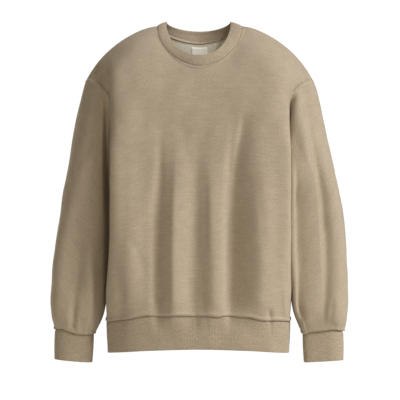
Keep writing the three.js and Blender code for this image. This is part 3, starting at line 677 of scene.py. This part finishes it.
# The sleeve's head: curves from the armhole to the first ring
def sleeveHead(wearerSide, count, shares):
    share = np.linspace(0, 1, count // 2 + 1)
    climb = mix(share, 0.5 - 0.5 * np.cos(math.pi * share), sleeve["endsCloser"])
    start = np.concatenate([armholeSeam("front", climb), armholeSeam("back", climb)[-2:0:-1]])
    topZ = ringTable["z"][0]
    end, below = tubeRings(wearerSide, np.array([topZ, topZ - 2.0 * sleeve["slopeStep"]]), count)
    span = end - start
    far = np.linalg.norm(span, axis=-1, keepdims=True)
    out = (end - end.mean(axis=0)) * [1, 1, 0]
    out /= np.linalg.norm(out, axis=-1, keepdims=True)
    full = np.minimum(1, far / sleeve["bulgeSpan"])
    leave = span * sleeve["reach"] + out * sleeve["bulge"] * (0.5 + 0.5 * out[:, :1]) * full
    leave[:, 0] += sleeve["underarm"] * np.maximum(0, -out[:, 0]) ** 2
    arrive = end - below
    arrive *= sleeve["reach"] * far / np.linalg.norm(arrive, axis=-1, keepdims=True)
    t = shares[:, None, None]
    return (start * (1 - t) ** 3 + 3 * (start + leave) * (1 - t) ** 2 * t
            + 3 * (end + arrive) * (1 - t) * t ** 2 + end * t ** 3)


# Height of the folds along a sleeve, for shares of the way from the shoulder's end to the cuff seam
def sleeveFoldHeight(wearerSide, angle, share):
    total = np.zeros_like(share)
    for row in sleeveFolds[wearerSide]:
        fold = dict(zip(sleeveFoldColumns, row))
        along = np.clip((share - fold["start"]) / (fold["end"] - fold["start"]), 0, 1)
        offset = angle - mix(fold["angleTop"], fold["angleBottom"], along)
        fade = smooth(share, fold["start"], fold["start"] + fold["fade"])
        fade *= 1 - smooth(share, fold["end"] - fold["fade"], fold["end"])
        total += fold["height"] * fade * hump(offset, fold["halfWidth"])
    return total


# Cuts the gathers, short troughs that run up from the cuff seam, into the sleeve's detail
def addGathers(detail, angle, fromCuff, seed):
    random = np.random.default_rng(seed)
    count = gathers["count"]
    places = (np.arange(count) + random.uniform(-gathers["shift"], gathers["shift"], count)) * 360 / count
    for place in places:
        height = gathers["height"] * random.uniform(*gathers["heights"])
        length = gathers["length"] * random.uniform(*gathers["lengths"])
        across = hump(degreesFrom(place, angle), random.uniform(*gathers["halfWidths"]))
        detail -= height * across * hump(fromCuff, length) * smooth(fromCuff, 0, gathers["seamFade"])


def sleevePoints(wearerSide, seed):
    count = sleeve["around"]
    angle = 360 * np.arange(count) / count
    armholeStep, cuffStep = sleeve["seamSteps"]
    headRows = graded(sleeve["headLength"], armholeStep, sleeve["step"], ("start",))[:-1]
    headShares = np.concatenate([[0], headRows / sleeve["headLength"]])
    topZ, bottomZ = ringTable["z"][0], ringTable["z"][-1]
    z = topZ - graded(topZ - bottomZ, cuffStep, sleeve["step"], ("end",))
    base = np.concatenate([sleeveHead(wearerSide, count, headShares), tubeRings(wearerSide, z, count)])
    base[0] = base[1] * [1, sleeve["tuckDepth"], 1] - [sleeve["tuck"], 0, 0]

    fromX, toX, pinch, length = sleeve["pinch"][wearerSide]
    grown = smooth(flatPlaces(base)[..., 1], sleeve["tuck"], length)
    above = smooth(base[..., 2], bottomZ, bottomZ + sleeve["pinchEnd"])
    pressed = 1 - pinch * smooth(base[..., 0], fromX, toX) * grown * above
    centreY = readTable(ringTable["z"], ringTable["y"], base[..., 2])
    ahead = base[..., 1] - centreY
    base[..., 1] = centreY + np.where(ahead < 0, ahead * pressed, ahead)

    fromTop = flatPlaces(base)[..., 1]
    fromTop = fromTop - fromTop[1:2]
    fromCuff = fromTop[-1:] - fromTop
    inside = smooth(fromTop, 0, sleeve["seamFade"])
    share = (base[..., 2] - body["tip"][1]) / (bottomZ - body["tip"][1])
    height = sleeveFoldHeight(wearerSide, angle, share) * inside
    away = base - base.mean(axis=1, keepdims=True)
    away /= np.linalg.norm(away, axis=-1, keepdims=True)
    base = base + away * height[..., None]

    normal = gridNormals(base, ring=True)
    kept, reach = sleeve["cuffLumps"]
    detail = lumps(base, seed, sleeve["lumps"]) * inside * mix(kept, 1, smooth(fromCuff, 0, reach))
    for view, sign in sideSign.items():
        facing = smooth(sign * normal[..., 1], 0, facingFrom)
        detail += creaseHeight(base[..., 0], base[..., 2], sleeveCreases[wearerSide][view]) * facing * inside
    addGathers(detail, angle, fromCuff, seed)
    detail += seamForm(fromTop, "armhole") + seamForm(fromCuff, "cuff")
    depth, halfWidth, start, end = sleeve["underarmSeam"]
    detail -= depth * hump(degreesFrom(0, angle), halfWidth) * smooth(fromTop, start, end)
    points = base + normal * detail[..., None]
    points[..., 2] += roundWave(angle, cuffSeamWave[wearerSide]) * (1 - smooth(fromCuff, 0, cuffWaveReach))
    if wearerSide == "right":
        points[..., 0] *= -1
    return points


# Rib bands, drawn as the loop of a folded band's section: up the outside, round the fold and down the inside
band = {
    "wall": 2.8,
    "sewnWall": 1.4,
    "wallReach": 8,  # how far from the seam the band reaches its full wall
    "tuck": 2,  # how far the sewn edge reaches in behind the cloth
    "recess": 1.6,
    "recessReach": 3,
    "ribDepth": 0.12,
    "ribStart": (0.5, 4),  # where beyond the seam the ribs grow to their full depth
    "samplesPerRib": 4,
    "seamStep": 0.8,
    "rowStep": 5,
    "foldSteps": 6,
}


# outer gives the outer face for shares from the seam (0) to the fold (1), as a grid of rows
def bandLoop(outer, height):
    radius = band["wall"] / 2
    rows = graded(height - radius, band["seamStep"], band["rowStep"], ("start",))
    shares = np.concatenate([[-band["tuck"], -band["tuck"] / 2], rows]) / height
    fromSeam = shares * height
    face = outer(shares)
    normal = gridNormals(face, ring=True)
    behind = band["recess"] * (1 - smooth(fromSeam, -band["tuck"], band["recessReach"]))
    face -= normal * behind[:, None, None]
    centre = face[-1] - normal[-1] * radius
    ahead = face[-1] - face[-3]
    ahead /= np.linalg.norm(ahead, axis=-1, keepdims=True)
    turn = np.linspace(0, math.pi, band["foldSteps"] + 1)[1:-1]
    foldNormal = [normal[-1] * math.cos(a) + ahead * math.sin(a) for a in turn]
    fold = [centre + radius * way for way in foldNormal]
    wall = mix(band["sewnWall"], band["wall"], smooth(fromSeam, 0, band["wallReach"]))[:, None, None]
    inner = (face - normal * wall)[::-1]
    loop = np.concatenate([face, fold, inner])
    out = np.concatenate([normal, foldNormal, -normal[::-1]])
    phase = 2 * math.pi * np.arange(loop.shape[1]) / band["samplesPerRib"]
    rise = smooth(fromSeam, *band["ribStart"])
    rise = np.concatenate([rise, np.ones(len(fold)), rise[::-1]])[:, None]
    relief = band["ribDepth"] * np.cos(phase) * rise
    return loop + out * relief[..., None]


# A closed ring read again at even distances along its first three columns
def evenRing(ring, count):
    closed = np.concatenate([ring, ring[:1]])
    places = lengthAlong(closed[:, :3])
    return readAlong(closed, places, np.arange(count) / count * places[-1])


hemBand = {
    "height": 70,
    "narrowing": 0.98,
    "ribs": 318,
    "seamEvens": 0.6,  # by what share of the height the seam's folds have evened out across,
    "edgeLevels": 0.8,  # and up and down
    "swell": (1.6, 5),  # how far it stands out, and how far below the seam it does
    "lumps": 0.5,
    "seed": 21,
    "edgeRise": (-2, 3),  # rise of the lower edge in front, in the middle and at the sides
    "edgeDepth": 60,  # how far forward of the side seams it has that rise
}


def hemLoop():
    joined = lambda front, back: np.concatenate([front[0], back[0, -2:0:-1]])
    ring = np.concatenate([joined(frontPoints, backPoints), joined(frontBase, backBase)], axis=1)
    ring = evenRing(ring, hemBand["ribs"] * band["samplesPerRib"])
    seam, plain = ring[:, :3], ring[:, 3:]
    edgeRise = mix(*hemBand["edgeRise"], (plain[:, :1] / body["armpit"][0]) ** 2)
    edgeRise = edgeRise * smooth(-plain[:, 1:2], 0, hemBand["edgeDepth"])

    def outer(shares):
        t = shares[:, None, None]
        ring = mix(seam, plain, smooth(t, 0, hemBand["seamEvens"])) * [1, 1, 0]
        ring = ring * mix(1, hemBand["narrowing"], t)
        out = ring / np.linalg.norm(ring, axis=-1, keepdims=True)
        swell, reach = hemBand["swell"]
        uneven = lumps(ring + [0, 0, 1] * t * hemBand["height"], hemBand["seed"], hemBand["lumps"])
        rise = swell * smooth(t * hemBand["height"], 0, reach) + uneven[..., None]
        level = mix(seam, plain, smooth(t, 0, hemBand["edgeLevels"])) * [0, 0, 1]
        return ring + out * rise + level - [0, 0, 1] * t * (hemBand["height"] - edgeRise)

    return bandLoop(outer, hemBand["height"])


cuff = {
    "length": 63,
    "narrowing": 0.97,
    "lean": {"left": 0.02, "right": 0.035},
    "forward": {"left": 0.07, "right": 0.0},
    "waveEnd": 0.9,  # by what share of the length the seam's wave has evened out
    "swell": (1.0, 5),
    "belly": 0.75,
    "ribs": 68,
}


def cuffLoop(wearerSide, seam):
    count = cuff["ribs"] * band["samplesPerRib"]
    closed = np.concatenate([seam, seam[:1]])
    ring = readAlong(closed, np.arange(len(closed)) / len(seam), np.arange(count) / count)
    centre = ring.mean(axis=0)
    wave = ring[:, 2] - readPlane(ring)
    outwards = (1 if wearerSide == "left" else -1) * cuff["lean"][wearerSide]
    axis = np.array([outwards, -cuff["forward"][wearerSide], -1])
    axis /= np.linalg.norm(axis)

    def outer(shares):
        t = shares[:, None, None]
        level = ring - wave[:, None] * [0, 0, 1] * smooth(t, 0, cuff["waveEnd"])
        out = level - centre
        unit = out * [1, 1, 0]
        unit /= np.linalg.norm(unit, axis=-1, keepdims=True)
        swell, reach = cuff["swell"]
        rise = swell * smooth(t * cuff["length"], 0, reach)
        belly = cuff["belly"] * np.sin(math.pi * np.clip(t, 0, 1))
        return centre + out * mix(1, cuff["narrowing"], t) + axis * cuff["length"] * t + unit * (rise + belly)

    return bandLoop(outer, cuff["length"])


# The height of the plane that fits a ring best
def readPlane(ring):
    sides = np.stack([ring[:, 0], ring[:, 1], np.ones(len(ring))], axis=-1)
    fit = np.linalg.lstsq(sides, ring[:, 2], rcond=None)[0]
    return sides @ fit


collar = {
    "halfWidth": 71,
    "leftIn": (5, 10),  # how much nearer to the middle its free edge is on the wearer's left, and from where
    "peak": 9.7,
    "drop": {"front": 77.2, "back": 15.2},
    "depth": {"front": 69, "back": 54},
    "roundness": {"front": 1.3, "back": 1},
    "setBack": 3,
    "height": 24,
    "bow": 1.2,  # how far the band bows out between its seam and its fold
    "sunk": (0.2, 0.16),  # how far it lies in at the seam, and by what share of its height it is out again
    "samples": 401,
    "ribs": 200,
}


def collarEdge(side, turn):
    angle = turn * math.pi / 2
    power = 1 if side == "front" else 2 / body["neckRoundness"]["back"]
    ahead = np.abs(np.cos(angle))
    out = sideSign[side] * collar["depth"][side] * ahead ** collar["roundness"][side]
    return points3(collar["halfWidth"] * np.sin(angle), collar["setBack"] + out,
                   collar["peak"] - collar["drop"][side] * ahead ** power)


def collarLoop():
    turn = np.linspace(-1, 1, collar["samples"])
    mirrored = np.where(turn < 0, -1, 1)[:, None] ** np.array([1, 0, 0])

    def ring(edge):
        front, back = (edge(side, np.abs(turn)) * mirrored for side in ("front", "back"))
        return np.concatenate([front, back[-2:0:-1]])

    seam, edge = ring(neckSeam), ring(collarEdge)
    leftIn, start = collar["leftIn"]
    edge[:, 0] -= leftIn * smooth(edge[:, 0], start, collar["halfWidth"])
    both = evenRing(np.concatenate([seam, edge], axis=1), collar["ribs"] * band["samplesPerRib"])
    seam, edge = both[:, :3], both[:, 3:]
    sunk, reach = collar["sunk"]

    def outer(shares):
        t = shares[:, None, None]
        flat = mix(seam, edge, t)
        rise = collar["bow"] * np.sin(math.pi * np.clip(t, 0, 1)) - sunk * (1 - smooth(t, 0, reach))
        return flat + gridNormals(flat, ring=True) * rise

    return bandLoop(outer, collar["height"])


mergeWithin = 2e-6  # metres


# A mesh from a grid of points, with the flat places as its UV map
def clothMesh(name, points, materials, aroundRows=False, aroundColumns=False, middle=0):
    if aroundColumns:
        points = np.concatenate([points, points[:, :1]], axis=1)
    if aroundRows:
        points = np.concatenate([points, points[:1]], axis=0)
    rows, columns = points.shape[:2]
    shape = bmesh.new()
    bmesh.ops.create_grid(shape, x_segments=columns - 1, y_segments=rows - 1, size=1)
    mesh = bpy.data.meshes.new(name)
    shape.to_mesh(mesh)
    places = np.empty(len(mesh.vertices) * 3, np.float32)
    mesh.vertices.foreach_get("co", places)
    places = (places.reshape(-1, 3) + 1) / 2
    column = np.rint(places[:, 0] * (columns - 1)).astype(int)
    row = np.rint(places[:, 1] * (rows - 1)).astype(int)
    mesh.vertices.foreach_set("co", (points[row, column] * mm).astype(np.float32).ravel())
    corner = np.empty(len(mesh.loops), np.int32)
    mesh.loops.foreach_get("vertex_index", corner)
    flat = (flatPlaces(points, middle)[row, column] * mm).astype(np.float32)
    mesh.uv_layers.new(name="cloth").uv.foreach_set("vector", flat[corner].ravel())
    shape.clear()
    shape.from_mesh(mesh)
    bmesh.ops.remove_doubles(shape, verts=shape.verts, dist=mergeWithin)
    bmesh.ops.recalc_face_normals(shape, faces=shape.faces)
    centre = Vector(points.reshape(-1, 3).mean(axis=0) * mm)
    if not aroundColumns:
        centre.xy = (0, 0)
    outward = sum(f.normal.dot(f.calc_center_median() - centre) * f.calc_area() for f in shape.faces)
    if outward < 0:
        bmesh.ops.reverse_faces(shape, faces=shape.faces)
    shape.to_mesh(mesh)
    shape.free()
    mesh.shade_smooth()
    for material in materials:
        mesh.materials.append(material)
    made = bpy.data.objects.new(name, mesh)
    scene.collection.objects.link(made)
    return made


def addWall(made, thickness):
    wall = made.modifiers.new("wall", "SOLIDIFY")
    wall.thickness = thickness * mm
    wall.offset = -1
    wall.material_offset = 1
    wall.material_offset_rim = 0


# Materials: a wave texture of scale 1 repeats every 2 pi / 20 of a metre
def waveScale(pitch):
    return 2 * math.pi / 20 / (pitch * mm)


# Cotton fleece, knitted smooth outside: tiny columns of stitches, melange yarn and a slightly hairy bloom
knit = {
    "wale": 1.9,  # real columns are about 1.2 mm wide, drawn wider so that they show
    "slant": 24,
    "fleck": 2.6,
    "stretch": 1.8,
    "mottle": 22,
    "fuzz": 1.3,
    "streak": 4.2,  # melange yarn runs along the rows, drawn several rows wide so that it shows
    "bump": 0.28,
    "dark": "#978570",
    "middle": "#ab9984",
    "light": "#b9a892",
}


pattern = {
    "noise": (0.3, 0.7),  # nearly all values of a noise texture lie between these
    "ramp": (0.32, 0.5, 0.68),  # where the dark, middle and light yarns lie on it
    "mottle": 0.035,  # how much darker and lighter broad patches make the cloth
    "streak": 0.045,  # and streaks along the rows
    "streakStretch": 0.16,  # a streak is about six times as long as it is high
}


# Sizes in a look are those of its patterns in millimetres, and slant is in degrees
def fibreMaterial(name, look, sheen, roughness, wales=True):
    material = bpy.data.materials.new(name)
    material.use_nodes = True
    tree = material.node_tree
    tree.nodes.clear()
    place = addNode(tree, "ShaderNodeUVMap", uv_map="cloth").outputs[0]
    stretched = addNode(tree, "ShaderNodeMapping", {"Vector": place}, {"Scale": (1, look["stretch"], 1)})
    fleck = addNode(tree, "ShaderNodeTexNoise", {"Vector": stretched.outputs[0]},
                    {"Scale": 1 / (look["fleck"] * mm), "Detail": 3, "Roughness": 0.65})
    ramp = addNode(tree, "ShaderNodeValToRGB", {"Fac": fleck.outputs["Fac"]})
    low, high = ramp.color_ramp.elements
    dark, middle, light = pattern["ramp"]
    low.position, low.color = dark, toLinear(look["dark"])
    high.position, high.color = light, toLinear(look["light"])
    ramp.color_ramp.elements.new(middle).color = toLinear(look["middle"])
    colour = ramp.outputs["Color"]
    along = addNode(tree, "ShaderNodeMapping", {"Vector": place}, {"Scale": (pattern["streakStretch"], 1, 1)})
    least, most = pattern["noise"]
    for vector, kind, detail in ((place, "mottle", 2), (along.outputs[0], "streak", 1)):
        noise = addNode(tree, "ShaderNodeTexNoise", {"Vector": vector},
                        {"Scale": 1 / (look[kind] * mm), "Detail": detail})
        depth = pattern[kind]
        limits = {"From Min": least, "From Max": most, "To Min": 1 - depth, "To Max": 1 + depth}
        shade = addNode(tree, "ShaderNodeMapRange", {"Value": noise.outputs["Fac"]}, limits)
        colour = addNode(tree, "ShaderNodeMix", {6: colour, 7: shade.outputs[0]}, {0: 1},
                         data_type="RGBA", blend_type="MULTIPLY").outputs[2]
    height = addNode(tree, "ShaderNodeTexNoise", {"Vector": place},
                     {"Scale": 1 / (look["fuzz"] * mm), "Detail": 2, "Roughness": 0.7}).outputs["Fac"]
    if wales:
        waves = []
        for slant in (look["slant"], -look["slant"]):
            turned = addNode(tree, "ShaderNodeMapping", {"Vector": place},
                             {"Rotation": (0, 0, math.radians(slant))}).outputs[0]
            uneven = {"Scale": waveScale(look["wale"]), "Distortion": 0.6, "Detail": 1, "Detail Scale": 2}
            wave = addNode(tree, "ShaderNodeTexWave", {"Vector": turned}, uneven, bands_direction="X")
            waves.append(wave.outputs["Fac"])
        stitch = addNode(tree, "ShaderNodeMath", {0: waves[0], 1: waves[1]}, operation="MAXIMUM").outputs[0]
        height = addNode(tree, "ShaderNodeMath", {0: stitch, 1: height}, operation="ADD").outputs[0]
    bump = addNode(tree, "ShaderNodeBump", {"Height": height},
                   {"Strength": 0.7, "Distance": look["bump"] * mm})
    shader = addNode(tree, "ShaderNodeBsdfPrincipled", {"Base Color": colour, "Normal": bump.outputs[0]},
                     {"Roughness": roughness, "Sheen Weight": sheen, "Sheen Roughness": 0.5, "IOR": 1.5,
                      "Specular IOR Level": 0.25})
    addNode(tree, "ShaderNodeOutputMaterial", {"Surface": shader.outputs[0]})
    return material


fleeceOut = fibreMaterial("knittedCottonFleece", knit, 0.12, 0.95)

# The same cloth's inside, brushed to a pale, hairy pile
brushed = {"fleck": 3.4, "stretch": 0.8, "mottle": 16, "streak": 4.2, "fuzz": 2.2, "bump": 0.7,
           "dark": "#c3b9a9", "middle": "#d6ccbc", "light": "#e2dacb"}
fleeceIn = fibreMaterial("brushedCottonInside", brushed, 0.35, 1.0, wales=False)

# Fine cotton rib: the ribs are in the shape, and the yarn is a little darker and less mottled than the fleece
ribYarn = {"fleck": 2.2, "stretch": 0.6, "mottle": 30, "streak": 3.4, "fuzz": 1.1, "bump": 0.2,
           "dark": "#8f7e69", "middle": "#a18f7a", "light": "#ae9d88"}
ribCloth = fibreMaterial("cottonRib", ribYarn, 0.1, 0.93, wales=False)

# Polyester sewing thread, slightly shinier than the cotton
thread = fibreMaterial("polyesterThread", {**ribYarn, "fleck": 1.5, "bump": 0.1, "dark": "#a08e78",
                       "middle": "#b3a18b", "light": "#c0af99"}, 0.0, 0.7, wales=False)

# Woven label tape in undyed polyester: a fine even weave with a faint gloss
tape = {"fleck": 1.6, "stretch": 0.5, "mottle": 12, "streak": 1.2, "fuzz": 0.9, "bump": 0.12,
        "wale": 0.9, "slant": 45, "dark": "#ebe6d8", "middle": "#f4f0e4", "light": "#faf7ee"}
labelTape = fibreMaterial("wovenLabelTape", tape, 0.0, 0.7)

print("materials made")


# Pieces
def dress(made, node):
    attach(made, "root")
    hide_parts(node)


front = clothMesh("front_cloth", frontPoints, [fleeceOut, fleeceIn], middle=middleColumn)
addWall(front, body["wall"])
back = clothMesh("back_cloth", backPoints, [fleeceOut, fleeceIn], middle=middleColumn)
addWall(back, body["wall"])
sleeves = {}
for wearerSide, seed in (("left", 31), ("right", 32)):
    points = sleevePoints(wearerSide, seed)
    made = clothMesh(f"sleeve_{wearerSide}_cloth", points, [fleeceOut, fleeceIn], aroundColumns=True)
    addWall(made, sleeve["wall"])
    sleeves[wearerSide] = points
    dress(made, f"sleeve_{wearerSide}")
    ribbed = clothMesh(f"cuff_{wearerSide}_rib", cuffLoop(wearerSide, points[-1]), [ribCloth], True, True)
    dress(ribbed, f"cuff_{wearerSide}")
print("sleeves and cuffs made")
hem = clothMesh("hem_band_rib", hemLoop(), [ribCloth], True, True)
dress(hem, "hem_band")
neckband = clothMesh("neckband_rib", collarLoop(), [ribCloth], True, True)
dress(neckband, "neckband")
print("bands made")

# Stitches: short beads of thread along a seam, as long, as thick and as far apart as real ones. Each bead's
# direction is read 1 mm before and after its middle.
stitch = {"length": 2.9, "pitch": 3.9, "radius": 0.55, "lift": 0.15}
stitchAt = {"hem": 3.4, "neck": 3.6, "cuff": 3.2}  # how far from the seam each row runs


def stitchRow(name, line, normal, closed=False, material=thread):
    if closed:
        line, normal = (np.concatenate([a, a[:1]]) for a in (line, normal))
    places = lengthAlong(line)
    at = np.arange(stitch["pitch"] / 2, places[-1], stitch["pitch"])
    middles, starts, ends = (readAlong(line, places, at + shift) for shift in (0, -1, 1))
    shape = bmesh.new()
    for middle, start, end, out in zip(middles, starts, ends, readAlong(normal, places, at)):
        along = Vector(end - start).normalized()
        up = (Vector(out) - along * along.dot(Vector(out))).normalized()
        side = along.cross(up)
        turn = Matrix((along, side, up)).transposed().to_4x4()
        size = Matrix.Diagonal((stitch["length"] / 2 * mm, stitch["radius"] * mm, stitch["radius"] * mm, 1))
        centre = Vector(middle * mm) + up * stitch["lift"] * mm
        bmesh.ops.create_uvsphere(shape, u_segments=6, v_segments=5, radius=1,
                                  matrix=Matrix.Translation(centre) @ turn @ size)
    mesh = bpy.data.meshes.new(name)
    shape.to_mesh(mesh)
    shape.free()
    places = np.empty(len(mesh.vertices) * 3, np.float32)
    mesh.vertices.foreach_get("co", places)
    corner = np.empty(len(mesh.loops), np.int32)
    mesh.loops.foreach_get("vertex_index", corner)
    flat = places.reshape(-1, 3)[corner][:, [0, 2]]
    mesh.uv_layers.new(name="cloth").uv.foreach_set("vector", flat.ravel())
    mesh.shade_smooth()
    mesh.materials.append(material)
    made = bpy.data.objects.new(name, mesh)
    scene.collection.objects.link(made)
    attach(made, "root")
    return made


# The line on a grid that runs a given distance from its last row
def besideEnd(points, normal, distance):
    reach = flatPlaces(points)[..., 1]
    rows = np.argmin(np.abs(reach[-1:] - reach - distance), axis=0)
    columns = np.arange(points.shape[1])
    return points[rows, columns], normal[rows, columns]


neckColumns = np.abs(turns) <= 1
for side, points in (("front", frontPoints), ("back", backPoints)):
    normal = gridNormals(points)
    row = np.argmin(np.abs(flatPlaces(points)[..., 1].mean(axis=1) - stitchAt["hem"]))
    neckLine, neckNormal = besideEnd(points, normal, stitchAt["neck"])
    stitchRow(f"hem_stitches_{side}", points[row], normal[row])
    stitchRow(f"neck_stitches_{side}", neckLine[neckColumns], neckNormal[neckColumns])
for wearerSide, points in sleeves.items():
    line, normal = besideEnd(points, gridNormals(points, ring=True), stitchAt["cuff"])
    stitchRow(f"cuff_stitches_{wearerSide}", line, normal, closed=True)
print("stitches made")

dress(front, "front")
dress(back, "back")

# The label: plain tape, sewn at both ends to the inside of the back
label = {
    "halfTurn": 0.154,  # half its width, as a share of the way from the middle to the neck's end
    "bottomUp": 0.932,  # its lower and upper edges, as shares of the way up the back
    "topUp": 0.994,
    "lift": 0.5,
    "thickness": 0.7,
    "cells": (30, 20),
    "sewnColumns": (2, -3),
}


def insideBack(acrosses, heights, depth):
    normal = gridNormals(backBase)
    layer = backBase - normal * depth
    column = np.interp(acrosses, turns, np.arange(len(turns)))
    row = np.interp(heights, ups, np.arange(len(ups)))
    i, j = np.floor(column).astype(int), np.floor(row).astype(int)
    u, v = (column - i)[None, :, None], (row - j)[:, None, None]
    low = mix(layer[j][:, i], layer[j][:, i + 1], u)
    high = mix(layer[j + 1][:, i], layer[j + 1][:, i + 1], u)
    return mix(low, high, v), -normal[j][:, i]


acrosses = np.linspace(-label["halfTurn"], label["halfTurn"], label["cells"][0] + 1)
heights = np.linspace(label["bottomUp"], label["topUp"], label["cells"][1] + 1)
labelPoints, labelNormal = insideBack(acrosses, heights, body["wall"] + label["lift"] + label["thickness"])
neckLabel = clothMesh("neck_label_tape", labelPoints, [labelTape, labelTape])
addWall(neckLabel, -label["thickness"])
for k, column in enumerate(label["sewnColumns"]):
    line, normal = labelPoints[:, column], labelNormal[:, column]
    stitchRow(f"label_stitches_{k}", line, normal, material=labelTape)
dress(neckLabel, "neck_label")


# Floor, white surround and light
paleFloor = bpy.data.materials.new("paleFloor")
paleFloor.use_nodes = True
shader = paleFloor.node_tree.nodes["Principled BSDF"]
shader.inputs["Base Color"].default_value = toLinear(studio["floorColour"])
shader.inputs["Roughness"].default_value = 0.9
floorShape = bmesh.new()
bmesh.ops.create_circle(floorShape, cap_ends=True, segments=96, radius=studio["floorRadius"])
floorMesh = bpy.data.meshes.new("floor")
floorShape.to_mesh(floorMesh)
floorShape.free()
floorMesh.transform(Matrix.Translation((0, 0, studio["floorHeight"])))
floorMesh.materials.append(paleFloor)
floor = bpy.data.objects.new("floor", floorMesh)
scene.collection.objects.link(floor)

world = bpy.data.worlds.new("studio")
world.use_nodes = True
scene.world = world
tree = world.node_tree
tree.nodes.clear()
seen = addNode(tree, "ShaderNodeBackground", inputs={"Color": (1, 1, 1, 1)})
seen.inputs["Strength"].default_value = studio["backdropBrightness"]
lit = addNode(tree, "ShaderNodeBackground", inputs={"Color": toLinear(studio["fillColour"])})
lit.inputs["Strength"].default_value = studio["fillStrength"]
cameraRay = addNode(tree, "ShaderNodeLightPath").outputs["Is Camera Ray"]
both = addNode(tree, "ShaderNodeMixShader", {0: cameraRay, 1: lit.outputs[0], 2: seen.outputs[0]})
addNode(tree, "ShaderNodeOutputWorld", {"Surface": both.outputs[0]})


def addLight(name, kind, way, power, colour):
    made = bpy.data.objects.new(name, bpy.data.lights.new(name, kind))
    made.data.energy = power
    made.data.color = toLinear(colour)[:3]
    made.rotation_euler = Vector(way).to_track_quat("Z", "Y").to_euler()
    scene.collection.objects.link(made)
    return made


key = addLight("key", "SUN", studio["keyWay"], studio["keyPower"], studio["keyColour"])
key.data.angle = math.radians(studio["keySpread"])
for name in ("front", "back"):
    reflector = addLight(f"{name}Reflector", "SUN", studio[f"{name}Way"], studio[f"{name}Power"],
                         studio["fillColour"])
    reflector.data.angle = math.radians(studio["reflectorSpread"])
neckLamp = addLight("neckLamp", "SPOT", Vector(studio["neckLamp"]) - Vector(studio["neckAim"]),
                    studio["neckPower"], studio["keyColour"])
neckLamp.location = studio["neckLamp"]
neckLamp.data.spot_size = math.radians(studio["neckCone"])
neckLamp.data.spot_blend = studio["neckBlend"]
neckLamp.data.shadow_soft_size = studio["neckLampRadius"]
print("studio lit")
